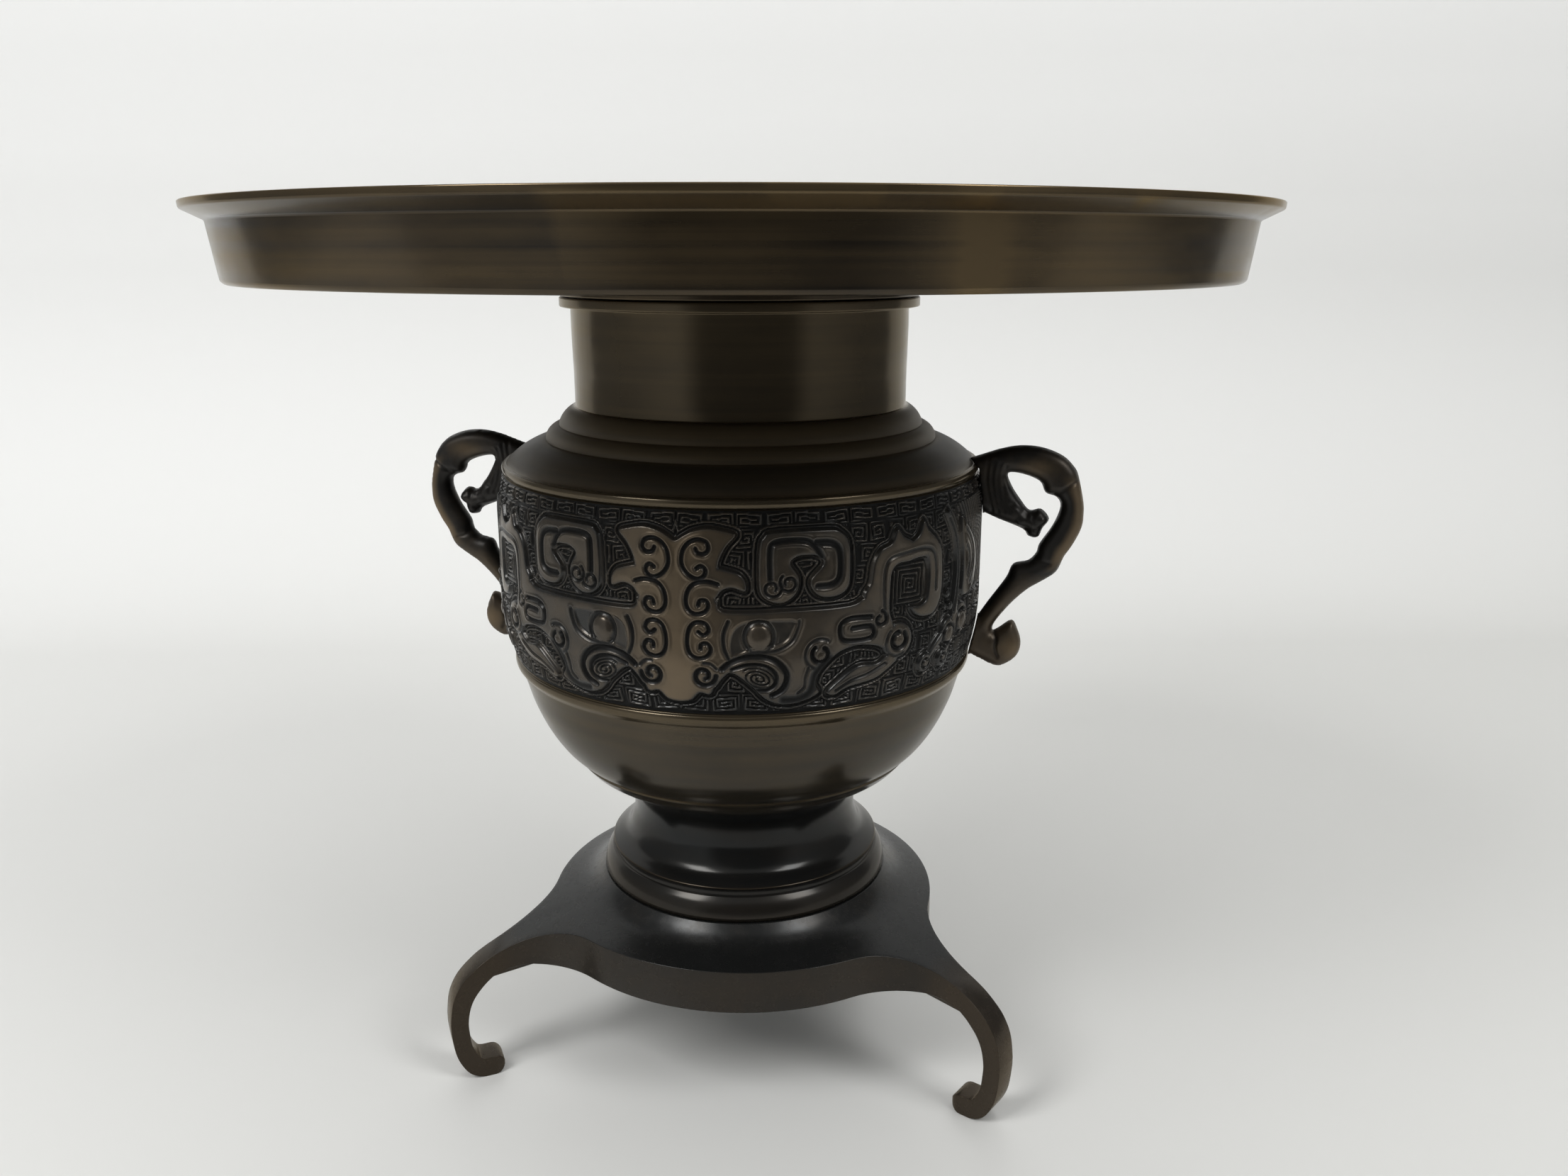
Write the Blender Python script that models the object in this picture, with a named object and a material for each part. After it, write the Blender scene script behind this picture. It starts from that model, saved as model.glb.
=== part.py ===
import math

import bmesh
import bpy
from mathutils import Vector
from mathutils.geometry import delaunay_2d_cdt

for old in list(bpy.data.objects):
    bpy.data.objects.remove(old, do_unlink=True)

# Everything is in metres, +Z up, with the three feet on z = 0 and the vase's axis on x = y = 0.
# The middle of the mask on the frieze looks to -Y and the two handles lie on -X and +X.
MM = 0.001

# Clearance left between two castings that rest on each other.
FIT_GAP = 0.3 * MM

# Tripod stand: seat in the middle, hollow collar, three lobes, three strap legs.
LEG_COUNT = 3
STAND_TURN = -26.0
SEAT_HEIGHT = 58.5 * MM
SEAT_R = 46.2 * MM
COLLAR_R = 57.5 * MM
COLLAR_DROP = 6.7 * MM
LOBE_REACH = 60.8 * MM
LOBE_ARC_R = 68.7 * MM
PLATE_UNDER_Z = 37.8 * MM
RECESS_R = 53.0 * MM
RECESS_TOP_R = 45.0 * MM
RECESS_ROOF = 5.5 * MM
LEG_HALF_WIDTH = 4.2 * MM
LEG_ROOT_R = 85.5 * MM
LEG_ROOT_TOP = 41.9 * MM
LEG_OUT_R = 99.6 * MM
LEG_THICK = 5.6 * MM
FOOT_MID_R = 88.0 * MM
FOOT_BEND_H = 18.0 * MM
TOE_H = 6.4 * MM

# Pedestal: a hollow bell with a fine ridge and a round lower roll.
PEDESTAL_H = 34.2 * MM
PEDESTAL_WALL = 2.7 * MM
PEDESTAL_ROLL_R = 46.0 * MM
PEDESTAL_RIDGE_R = 43.2 * MM
PEDESTAL_WAIST_R = 35.9 * MM
PEDESTAL_TOP_R = 42.0 * MM

# Body: heights are above the underside of the body.
BODY_WALL = 3.3 * MM
BODY_FLOOR = 4.2 * MM
EDGE_LINE_H = 7.0 * MM
EDGE_LINE_R = 53.4 * MM
FRIEZE_FOOT_H = 41.2 * MM
FRIEZE_H = 55.4 * MM
FRIEZE_R = 73.8 * MM
FRIEZE_FOOT_IN = 2.8 * MM
FRIEZE_TOP_IN = 1.5 * MM
RELIEF = 0.9 * MM
EYE_RELIEF = 0.8 * MM
BEAD_R = 72.4 * MM
STEP_ONE_H = 106.5 * MM
STEP_ONE_R = 59.2 * MM
STEP_TWO_H = 110.6 * MM
STEP_TWO_R = 55.1 * MM
NECK_FOOT_H = 116.0 * MM
NECK_R = 50.0 * MM
NECK_BORE_R = 46.0 * MM
FLANGE_H = 144.7 * MM
FLANGE_R = 53.4 * MM
BODY_H = 147.5 * MM

# Belly from the edge line to the lower bead, as (height above the body's underside, radius).
BELLY = [
    (11.8 * MM, 58.4 * MM), (18.6 * MM, 62.9 * MM), (26.4 * MM, 66.4 * MM), (33.0 * MM, 68.4 * MM),
    (36.6 * MM, 69.9 * MM), (38.8 * MM, 71.2 * MM),
]

# Dish: heights are above its seating ring.
DISH_R = 150.0 * MM
DISH_H = 24.6 * MM
DISH_UNDER_H = 4.3 * MM
DISH_WALL_FOOT_R = 142.1 * MM
DISH_WALL_TOP_R = 144.2 * MM
DISH_LIP_EDGE = 1.8 * MM
DISH_LIP_DROP = 4.6 * MM
DISH_WALL = 3.1 * MM
DISH_FLOOR = 3.0 * MM
SPIGOT_PLAY = 0.8 * MM
SPIGOT_WALL = 3.2 * MM
SPIGOT_LENGTH = 12.0 * MM

# Handles: half thickness at the middle of a section, and how fast it rounds off to the edge.
HANDLE_HALF_THICK = 3.8 * MM
HANDLE_EDGE_HALF = 1.1 * MM
HANDLE_ROUND = 3.4 * MM
HANDLE_MESH = 3.7 * MM

# How finely the round shapes are divided.
BODY_COLUMNS = 36
DISH_COLUMNS = 40
PEDESTAL_COLUMNS = 28

# The frieze is drawn on squares: this many across a quarter turn and this many up.
BAND_ACROSS = 116.0
BAND_UP = 55.4

# Places of the pieces above each other.
PEDESTAL_Z = SEAT_HEIGHT + FIT_GAP
BODY_Z = PEDESTAL_Z + PEDESTAL_H + FIT_GAP
DISH_Z = BODY_Z + BODY_H + FIT_GAP

# The figures of the frieze to the right of the mask's nose, each drawn by itself on the squares.
# Where they overlap they are one raised casting.
NOSE_PANEL = [
    (0.0, 48.2), (2.0, 49.3), (4.5, 50.6), (8.5, 51.4), (12.5, 50.8), (15.8, 49.6), (13.4, 46.6),
    (11.9, 43.8), (11.2, 41.0), (10.5, 32.6), (11.0, 30.6), (9.6, 8.2), (5.6, 6.6), (3.4, 4.4),
    (0.0, 3.7),
]
HORN = [
    (7.0, 41.6), (14.0, 40.4), (16.8, 39.3), (18.3, 37.0), (18.0, 34.6), (14.6, 35.6), (12.0, 34.8),
    (7.0, 31.0),
]
FACE = [
    (6.0, 30.0), (11.4, 30.2), (14.5, 29.3), (46.0, 29.5), (50.3, 31.0), (56.0, 31.0), (57.4, 15.8),
    (54.2, 16.9), (48.6, 17.9), (43.4, 16.8), (40.4, 14.4), (37.6, 11.2), (36.9, 8.0), (38.0, 5.8),
    (34.6, 3.8), (30.0, 2.8), (25.6, 3.4), (22.4, 5.4), (19.8, 8.4), (14.4, 12.5), (11.6, 10.6),
    (9.6, 8.2), (6.0, 9.0),
]
HOOK_POST = [
    (50.3, 31.0), (52.2, 34.5), (53.2, 40.0), (55.4, 43.4), (58.8, 44.8), (61.0, 48.3), (63.4, 45.8),
    (66.2, 44.4), (66.2, 39.0), (61.4, 38.8), (59.0, 36.6), (58.7, 26.0), (60.0, 20.0), (52.0, 22.0),
]
HOOK_END = [
    (64.0, 45.4), (66.2, 44.4), (68.8, 45.8), (71.0, 49.2), (72.8, 46.4), (76.5, 43.3), (79.0, 39.2),
    (79.4, 30.0), (78.2, 25.2), (75.4, 22.4), (71.2, 22.2), (67.8, 23.6), (66.2, 26.0), (69.4, 25.8),
    (72.4, 27.4), (73.2, 33.0), (72.4, 38.4), (69.0, 39.1), (64.0, 38.9),
]
LEAF = [
    (40.3, 5.4), (43.2, 8.4), (48.8, 12.2), (54.6, 12.0), (57.4, 13.4), (61.0, 16.0), (62.4, 12.4),
    (57.6, 8.8), (54.0, 7.2), (46.4, 6.1), (42.4, 4.2),
]
SQUARE_SCROLL = [
    (21.4, 36.6), (21.6, 46.0), (22.8, 49.0), (25.6, 50.2), (40.0, 50.3), (43.6, 49.2), (45.8, 46.2),
    (46.2, 38.6), (45.6, 34.4), (42.8, 32.3), (38.4, 32.2), (35.8, 34.0), (35.0, 37.2), (38.4, 41.2),
    (37.0, 43.2), (34.0, 43.7), (31.2, 43.3), (29.8, 41.7), (32.0, 38.0), (31.4, 34.0), (28.6, 31.6),
    (25.4, 31.4), (22.4, 33.2),
]

# The wing beside the handle is a band along this line and widens evenly downwards.
WING_LINE = [(82.4, 50.0), (86.2, 43.6), (88.3, 35.0), (87.8, 26.0), (86.2, 17.0)]
WING_TOP_WIDTH = 1.4
WING_FOOT_WIDTH = 3.6

# Round curls as (centre, radius): the one beside the leaf and two at the foot of the wing.
CURLS = [((61.6, 17.3), 5.2), ((84.0, 15.4), 4.1), ((91.0, 17.8), 4.6)]
CURL_SIDES = 8
EYE_CENTRE = (21.5, 22.6)
EYE_RADIUS = 3.1
EYE_SIDES = 7

# Handle outline in millimetre squares: out from the frieze's wall, up from the frieze's foot.
# The first run goes from the upper contact over the crest and down to the lower contact.
HANDLE_OUTER = [
    (0.4, 59.9), (4.2, 62.7), (8.9, 63.8), (13.6, 64.0), (18.3, 63.2), (23.0, 61.2), (26.0, 58.4),
    (27.6, 55.5), (29.5, 47.4), (29.7, 42.5), (29.0, 39.0), (26.9, 34.5), (24.7, 30.9), (22.6, 26.2),
    (18.0, 22.8), (14.7, 20.6), (11.0, 17.1), (7.8, 13.3), (5.0, 9.2), (4.7, 7.1), (6.5, 8.0),
    (10.3, 10.6), (12.2, 7.6), (13.3, 3.8), (12.7, 0.2), (10.6, -2.4), (7.1, -4.2), (3.6, -3.4),
    (0.6, -0.6),
]
# The second run goes from the lower contact up the inside, round the dragon's head.
HANDLE_INNER = [
    (3.2, 16.6), (8.0, 23.8), (10.0, 28.2), (14.3, 29.5), (16.6, 32.0), (17.4, 34.8), (21.0, 40.6),
    (22.9, 46.2), (21.6, 49.0), (18.4, 50.2), (16.6, 53.5), (11.6, 55.5), (7.3, 55.6), (8.5, 51.9),
    (11.2, 47.9), (14.0, 44.8), (17.3, 45.3), (19.8, 42.4), (18.0, 39.4), (16.8, 36.7), (14.0, 36.9),
    (12.2, 39.0), (5.1, 41.7),
]
HANDLE_UPPER_FOOT = 43.7
HANDLE_LOWER_TOP = 11.5


def material(name, colour, roughness):
    mat = bpy.data.materials.new(name)
    mat.use_nodes = True
    shader = mat.node_tree.nodes["Principled BSDF"]
    shader.inputs["Base Color"].default_value = (*colour, 1.0)
    shader.inputs["Metallic"].default_value = 1.0
    shader.inputs["Roughness"].default_value = roughness
    return mat


def add_object(name, verts, faces, mat):
    mesh = bpy.data.meshes.new(name)
    mesh.from_pydata([tuple(v) for v in verts], [], faces)
    shape = bmesh.new()
    shape.from_mesh(mesh)
    bmesh.ops.recalc_face_normals(shape, faces=shape.faces)
    if shape.calc_volume(signed=True) < 0:
        bmesh.ops.reverse_faces(shape, faces=shape.faces)
    shape.to_mesh(mesh)
    shape.free()
    mesh.materials.append(mat)
    obj = bpy.data.objects.new(name, mesh)
    bpy.context.scene.collection.objects.link(obj)
    return obj


def ring(radius, z, count):
    points = []
    for i in range(count):
        a = 2.0 * math.pi * i / count
        points.append((radius * math.cos(a), radius * math.sin(a), z))
    return points


def arc_points(start, end, bulge, steps):
    # Points on a shallow curve from start to end that swells by bulge to the right of its run.
    run_r = end[0] - start[0]
    run_z = end[1] - start[1]
    length = math.hypot(run_r, run_z)
    out = []
    for i in range(1, steps + 1):
        t = i / steps
        swell = 4.0 * bulge * t * (1.0 - t) / length
        out.append((start[0] + run_r * t + run_z * swell, start[1] + run_z * t - run_r * swell))
    return out


class Shell:
    # Collects shared points and faces of one closed casting.
    def __init__(self):
        self.verts = []
        self.faces = []

    def add_ring(self, radius, z, count):
        first = len(self.verts)
        self.verts.extend(ring(radius, z, count))
        return list(range(first, first + count))

    def join(self, low, high):
        # Joins two rings; the second may have half or twice as many points as the first.
        if len(low) == len(high):
            count = len(low)
            for i in range(count):
                j = (i + 1) % count
                self.faces.append((low[i], low[j], high[j], high[i]))
            return
        wide, slim = (low, high) if len(low) > len(high) else (high, low)
        count = len(slim)
        for i in range(count):
            j = (i + 1) % count
            a, b, c = wide[2 * i], wide[2 * i + 1], wide[(2 * i + 2) % len(wide)]
            self.faces.append((a, b, slim[i]))
            self.faces.append((b, slim[j], slim[i]))
            self.faces.append((b, c, slim[j]))

    def lathe(self, profile, count, start=None):
        last = start
        for radius, z in profile:
            new = self.add_ring(radius, z, count)
            if last is not None:
                self.join(last, new)
            last = new
        return last


# Frieze wall: swells from its foot to the full radius and draws in again below the upper bead.
def frieze_radius(up):
    share = up / BAND_UP
    if share < 0.34:
        return FRIEZE_R - FRIEZE_FOOT_IN * (1.0 - share / 0.34) ** 2
    if share > 0.78:
        return FRIEZE_R - FRIEZE_TOP_IN * ((share - 0.78) / 0.22) ** 2
    return FRIEZE_R


def frieze_z(up):
    return BODY_Z + FRIEZE_FOOT_H + up / BAND_UP * FRIEZE_H


def inside(point, outline):
    x, y = point
    hit = False
    count = len(outline)
    for i in range(count):
        x1, y1 = outline[i]
        x2, y2 = outline[(i + 1) % count]
        if (y1 > y) != (y2 > y) and x < x1 + (y - y1) / (y2 - y1) * (x2 - x1):
            hit = not hit
    return hit


def circle_outline(centre, radius, sides):
    points = []
    for i in range(sides):
        a = 2.0 * math.pi * (i + 0.5) / sides
        points.append((centre[0] + radius * math.cos(a), centre[1] + radius * math.sin(a)))
    return points


def band_outline(line, first_width, last_width):
    # Closed outline of a band that follows a line and changes its width evenly.
    left = []
    right = []
    for i, (x, y) in enumerate(line):
        ahead = line[min(i + 1, len(line) - 1)]
        behind = line[max(i - 1, 0)]
        run = (ahead[0] - behind[0], ahead[1] - behind[1])
        length = math.hypot(*run)
        half = 0.5 * (first_width + (last_width - first_width) * i / (len(line) - 1))
        left.append((x - run[1] / length * half, y + run[0] / length * half))
        right.append((x + run[1] / length * half, y - run[0] / length * half))
    return left + right[::-1]


def frieze_quarter():
    # Triangles of a quarter of the band on the drawing squares, each with its level.
    eye = circle_outline(EYE_CENTRE, EYE_RADIUS, EYE_SIDES)
    raised = [NOSE_PANEL, HORN, FACE, HOOK_POST, HOOK_END, LEAF, SQUARE_SCROLL]
    raised.append(band_outline(WING_LINE, WING_TOP_WIDTH, WING_FOOT_WIDTH))
    raised += [circle_outline(centre, radius, CURL_SIDES) for centre, radius in CURLS]
    figures = raised + [eye]
    points = []
    edges = []
    for outline in figures:
        first = len(points)
        points.extend(outline)
        for i in range(len(outline)):
            edges.append((first + i, first + (i + 1) % len(outline)))
    columns = BODY_COLUMNS // 4
    rows = (0.0, 1.9, 21.0, 44.0, 53.2, BAND_UP)
    for c in range(columns + 1):
        across = BAND_ACROSS * c / columns
        first = len(points)
        points.extend((across, up) for up in rows)
        edges.extend((first + k, first + k + 1) for k in range(len(rows) - 1))
    for k in (0, len(rows) - 1):
        for c in range(columns):
            base = len(points) - (columns + 1) * len(rows)
            edges.append((base + c * len(rows) + k, base + (c + 1) * len(rows) + k))
    result = delaunay_2d_cdt([Vector(p) for p in points], edges, [], 0, 1e-4)
    flat = [(p.x, p.y) for p in result[0]]
    triangles = []
    for face in result[2]:
        centre = (sum(flat[i][0] for i in face) / 3.0, sum(flat[i][1] for i in face) / 3.0)
        on_figure = any(inside(centre, outline) for outline in raised)
        triangles.append((tuple(face), int(on_figure) + int(inside(centre, eye))))
    return flat, triangles


def frieze_band(shell, low_ring, high_ring):
    # Lays the quarter round the wall four times, every second one mirrored, so that a mask looks
    # to the front and another to the back.
    flat, triangles = frieze_quarter()
    heights = (0.0, RELIEF, RELIEF + EYE_RELIEF)
    known = {}
    columns = BODY_COLUMNS // 4

    def corner(index, level, quarter):
        across, up = flat[index]
        share = across / BAND_ACROSS
        turn = share if quarter % 2 == 0 else -share
        start = (3, 3, 1, 1)[quarter] + turn
        if up < 1e-3 or up > BAND_UP - 1e-3:
            number = round(start * columns) % BODY_COLUMNS
            return (low_ring if up < 1e-3 else high_ring)[number]
        key = (round(start * 40000) % 160000, round(up * 1000), level)
        if key not in known:
            a = start * math.pi / 2.0
            r = frieze_radius(up) + heights[level]
            known[key] = len(shell.verts)
            shell.verts.append((r * math.cos(a), r * math.sin(a), frieze_z(up)))
        return known[key]

    for quarter in range(4):
        sides = {}
        for face, level in triangles:
            ids = [corner(i, level, quarter) for i in face]
            shell.faces.append(tuple(ids))
            for k in range(3):
                pair = (face[k], face[(k + 1) % 3])
                sides[frozenset(pair)] = sides.get(frozenset(pair), []) + [level]
        for pair, levels in sides.items():
            if len(levels) == 2 and levels[0] != levels[1]:
                a, b = tuple(pair)
                low, high = sorted(levels)
                wall = ((a, low), (b, low), (b, high), (a, high))
                shell.faces.append(tuple(corner(i, level, quarter) for i, level in wall))


def build_body(mat):
    shell = Shell()
    base = BODY_Z
    n = BODY_COLUMNS
    half = n // 2

    def at(r, h):
        return (r, base + h)

    # Underside, round under-moulding, the sharp edge line, the belly and the lower bead.
    foot = [at(PEDESTAL_TOP_R, 0.0), at(46.4 * MM, 0.9 * MM), at(50.4 * MM, 3.2 * MM)]
    foot += [at(EDGE_LINE_R + 0.1 * MM, EDGE_LINE_H - 0.5 * MM), at(EDGE_LINE_R, EDGE_LINE_H)]
    foot += [at(r, h) for h, r in BELLY]
    foot += [at(BELLY[-1][1] - 0.1 * MM, FRIEZE_FOOT_H - 0.7 * MM)]
    centre = len(shell.verts)
    shell.verts.append((0.0, 0.0, base))
    low = shell.lathe(foot[:1], n)
    for i in range(n):
        shell.faces.append((centre, low[(i + 1) % n], low[i]))
    low = shell.lathe(foot[1:], n, low)
    band_low = shell.add_ring(frieze_radius(0.0), frieze_z(0.0), n)
    shell.join(low, band_low)
    band_high = shell.add_ring(frieze_radius(BAND_UP), frieze_z(BAND_UP), n)
    frieze_band(shell, band_low, band_high)

    # Upper bead, broad convex cone, two round steps, neck and flange.
    top = FRIEZE_FOOT_H + FRIEZE_H
    upper = [at(BEAD_R - 0.7 * MM, top + 0.4 * MM), at(BEAD_R, top + 1.7 * MM)]
    upper += [at(BEAD_R - 0.8 * MM, top + 3.1 * MM)]
    upper += arc_points(upper[-1], at(STEP_ONE_R, STEP_ONE_H), 0.9 * MM, 3)
    upper += arc_points(at(STEP_ONE_R, STEP_ONE_H), at(STEP_TWO_R, STEP_TWO_H), 0.8 * MM, 2)
    upper += arc_points(at(STEP_TWO_R, STEP_TWO_H), at(NECK_R, NECK_FOOT_H), 0.8 * MM, 2)
    upper += [at(NECK_R + 0.2 * MM, FLANGE_H), at(FLANGE_R, FLANGE_H), at(FLANGE_R, BODY_H)]
    last = shell.lathe(upper, n, band_high)

    # Bore and inside: the outer shape drawn in by the wall. The bore is measured across its flats.
    wall = BODY_WALL
    bore_r = NECK_BORE_R / math.cos(math.pi / half)
    inner = [at(bore_r, BODY_H), at(bore_r, NECK_FOOT_H - 1.0 * MM)]
    inner += [at(STEP_ONE_R - wall, STEP_ONE_H - wall), at(BEAD_R - wall - 3.0 * MM, top - 0.5 * MM)]
    inner += [at(FRIEZE_R - wall, top - 8.0 * MM), at(FRIEZE_R - wall, FRIEZE_FOOT_H + 16.0 * MM)]
    inner += [at(BELLY[k][1] - wall, BELLY[k][0] + rise) for k, rise in ((5, 2.4 * MM), (2, 0.6 * MM))]
    inner += [at(BELLY[0][1] - wall, BELLY[0][0] + 1.7 * MM)]
    inner += [at(EDGE_LINE_R - wall - 1.6 * MM, EDGE_LINE_H + 1.6 * MM), at(40.0 * MM, BODY_FLOOR)]
    mouth = shell.add_ring(inner[0][0], inner[0][1], half)
    shell.join(last, mouth)
    deep = shell.lathe(inner[1:], half, mouth)
    centre = len(shell.verts)
    shell.verts.append((0.0, 0.0, base + BODY_FLOOR))
    for i in range(half):
        shell.faces.append((centre, deep[i], deep[(i + 1) % half]))
    return add_object("vase_body", shell.verts, shell.faces, mat)


def build_dish(mat):
    base = DISH_Z
    shell = Shell()
    spigot_r = NECK_BORE_R - SPIGOT_PLAY
    throat_r = spigot_r - SPIGOT_WALL
    lip_under = DISH_H - DISH_LIP_DROP
    # Down the outside from the rim, over the flat underside and the seating ring to the spigot.
    profile = [(DISH_R, DISH_H), (DISH_R - 0.2 * MM, DISH_H - DISH_LIP_EDGE)]
    profile += [(DISH_WALL_TOP_R, lip_under), (DISH_WALL_FOOT_R, DISH_UNDER_H + 0.9 * MM)]
    profile += [(DISH_WALL_FOOT_R - 1.0 * MM, DISH_UNDER_H)]
    profile += [(FLANGE_R, DISH_UNDER_H), (FLANGE_R, 0.0), (spigot_r, 0.0), (spigot_r, -SPIGOT_LENGTH)]
    # Up the throat, over the floor and up the inner wall to the flat rim.
    profile += [(throat_r, -SPIGOT_LENGTH), (throat_r, DISH_UNDER_H + DISH_FLOOR - 1.0 * MM)]
    profile += [(throat_r + 1.0 * MM, DISH_UNDER_H + DISH_FLOOR)]
    profile += [(DISH_WALL_FOOT_R - DISH_WALL - 2.0 * MM, DISH_UNDER_H + DISH_FLOOR)]
    profile += [(DISH_WALL_FOOT_R - DISH_WALL, DISH_UNDER_H + DISH_FLOOR + 2.0 * MM)]
    profile += [(DISH_WALL_TOP_R - DISH_WALL, DISH_H - 0.4 * MM)]
    profile += [(DISH_WALL_TOP_R - DISH_WALL + 0.6 * MM, DISH_H)]
    placed = [(r, base + z) for r, z in profile]
    first = shell.add_ring(placed[0][0], placed[0][1], DISH_COLUMNS)
    last = shell.lathe(placed[1:], DISH_COLUMNS, first)
    shell.join(last, first)
    return add_object("top_dish", shell.verts, shell.faces, mat)


def build_pedestal(mat):
    base = PEDESTAL_Z
    shell = Shell()
    roll = PEDESTAL_ROLL_R
    ridge = PEDESTAL_RIDGE_R
    waist = PEDESTAL_WAIST_R
    h = PEDESTAL_H
    profile = [(roll - 0.3 * MM, 0.0), (roll, 1.2 * MM), (roll - 0.5 * MM, 3.8 * MM)]
    profile += [(roll - 1.8 * MM, 6.2 * MM), (ridge, 7.2 * MM), (ridge - 0.4 * MM, 7.5 * MM)]
    profile += [(ridge - 0.3 * MM, 9.1 * MM), (ridge, 9.7 * MM), (ridge - 1.2 * MM, 10.4 * MM)]
    profile += [(waist + 2.8 * MM, 12.6 * MM), (waist + 1.0 * MM, 16.0 * MM), (waist, 20.4 * MM)]
    profile += [(waist + 0.5 * MM, 25.4 * MM), (waist + 2.4 * MM, h - 4.4 * MM), (PEDESTAL_TOP_R, h)]
    wall = PEDESTAL_WALL
    inner = [(PEDESTAL_TOP_R - 1.6 * wall, h), (waist - wall, 22.0 * MM)]
    inner += [(waist - wall + 0.6 * MM, 15.0 * MM), (ridge - wall - 1.2 * MM, 8.0 * MM)]
    inner += [(roll - wall - 0.4 * MM, 0.0)]
    placed = [(r, base + z) for r, z in profile]
    placed_in = [(r, base + z) for r, z in inner]
    first = shell.add_ring(placed[0][0], placed[0][1], PEDESTAL_COLUMNS)
    last = shell.lathe(placed[1:], PEDESTAL_COLUMNS, first)
    half = PEDESTAL_COLUMNS // 2
    mouth = shell.add_ring(placed_in[0][0], placed_in[0][1], half)
    shell.join(last, mouth)
    foot = shell.lathe(placed_in[1:], half, mouth)
    shell.join(foot, first)
    return add_object("pedestal", shell.verts, shell.faces, mat)


def stand_top(rho):
    # Height of the stand's upper side: flat seat, hollow collar, then the long fall along a leg.
    if rho <= SEAT_R:
        return SEAT_HEIGHT
    if rho <= COLLAR_R:
        share = (rho - SEAT_R) / (COLLAR_R - SEAT_R)
        return SEAT_HEIGHT - COLLAR_DROP * (0.38 * share + 0.62 * (1.0 - (1.0 - share) ** 3))
    share = (rho - COLLAR_R) / (LEG_ROOT_R - COLLAR_R)
    fall = SEAT_HEIGHT - COLLAR_DROP - LEG_ROOT_TOP
    return SEAT_HEIGHT - COLLAR_DROP - fall * (0.62 * share + 0.38 * share * share)


def stand_under(rho):
    # Height of the plate's lower edge, which dips into the inner side of a leg.
    start = LEG_ROOT_R - 12.0 * MM
    if rho <= start:
        return PLATE_UNDER_Z
    share = (rho - start) / (LEG_ROOT_R - start)
    return PLATE_UNDER_Z - 2.9 * MM * share ** 2.4


def lobe_outline():
    # Plan outline from one leg to the next as (angle, radius): strap side, fillet, lobe, fillet.
    lobe_back = LOBE_ARC_R - LOBE_REACH
    half_turn = math.pi / LEG_COUNT
    lobe_mid = (-lobe_back * math.cos(half_turn), -lobe_back * math.sin(half_turn))
    # The fillet touches the strap's side at the leg's root and the lobe's arc from outside.
    side = LEG_HALF_WIDTH - lobe_mid[1]
    run = LEG_ROOT_R - lobe_mid[0]
    fillet_r = (run * run + side * side - LOBE_ARC_R ** 2) / (2.0 * (LOBE_ARC_R - side))
    fillet_mid = (LEG_ROOT_R, LEG_HALF_WIDTH + fillet_r)
    touch = math.atan2(lobe_mid[1] - fillet_mid[1], lobe_mid[0] - fillet_mid[0])
    points = []
    fillet_steps = 5
    for i in range(fillet_steps + 1):
        a = -math.pi / 2.0 + (touch + math.pi / 2.0) * i / fillet_steps
        points.append((fillet_mid[0] + fillet_r * math.cos(a), fillet_mid[1] + fillet_r * math.sin(a)))
    half = [(math.atan2(y, x), math.hypot(x, y)) for x, y in points]
    lobe_start = math.atan2(points[-1][1] - lobe_mid[1], points[-1][0] - lobe_mid[0])
    lobe_steps = 4
    for i in range(1, lobe_steps + 1):
        a = lobe_start + (half_turn - lobe_start) * i / lobe_steps
        x = lobe_mid[0] + LOBE_ARC_R * math.cos(a)
        y = lobe_mid[1] + LOBE_ARC_R * math.sin(a)
        half.append((math.atan2(y, x), math.hypot(x, y)))
    other = [(2.0 * half_turn - a, r) for a, r in reversed(half[:-1])]
    return half + other


def leg_profile():
    # Pairs of points down a leg: outer side and inner side, each as (radius, height).
    out_r = LEG_OUT_R
    bend = FOOT_BEND_H
    span = out_r - FOOT_MID_R - 2.0 * MM
    top_z = stand_top(LEG_ROOT_R)
    pairs = [((LEG_ROOT_R + 4.5 * MM, top_z - 2.8 * MM), (LEG_ROOT_R + 2.7 * MM, 32.7 * MM))]
    pairs += [((out_r - 5.1 * MM, top_z - 6.8 * MM), (out_r - 8.5 * MM, 29.4 * MM))]
    pairs += [((out_r - 2.6 * MM, top_z - 10.3 * MM), (out_r - 6.9 * MM, 26.6 * MM))]
    pairs += [((out_r - 0.9 * MM, top_z - 14.6 * MM), (out_r - LEG_THICK - 0.3 * MM, 23.4 * MM))]
    pairs += [((out_r - 0.1 * MM, bend + 3.6 * MM), (out_r - LEG_THICK + 0.2 * MM, 19.6 * MM))]
    pairs += [((out_r, bend), (out_r - LEG_THICK, 16.0 * MM))]
    for degrees, inner in ((25.0, (6.0, 12.4)), (45.0, (6.8, 9.8)), (65.0, (7.8, 8.0))):
        a = math.radians(degrees)
        outer = (out_r - span + span * math.cos(a), bend - bend * math.sin(a))
        pairs.append((outer, (out_r - inner[0] * MM, inner[1] * MM)))
    pairs += [((out_r - span, 0.0), (FOOT_MID_R + 2.4 * MM, TOE_H + 0.2 * MM))]
    # The toe ends in a half round.
    end_r = 0.5 * TOE_H
    for degrees in (0.0, 35.0, 65.0):
        a = math.radians(degrees)
        reach = FOOT_MID_R - 1.2 * MM - end_r * math.sin(a)
        pairs.append(((reach, end_r - end_r * math.cos(a)), (reach, end_r + end_r * math.cos(a))))
    return pairs


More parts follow.
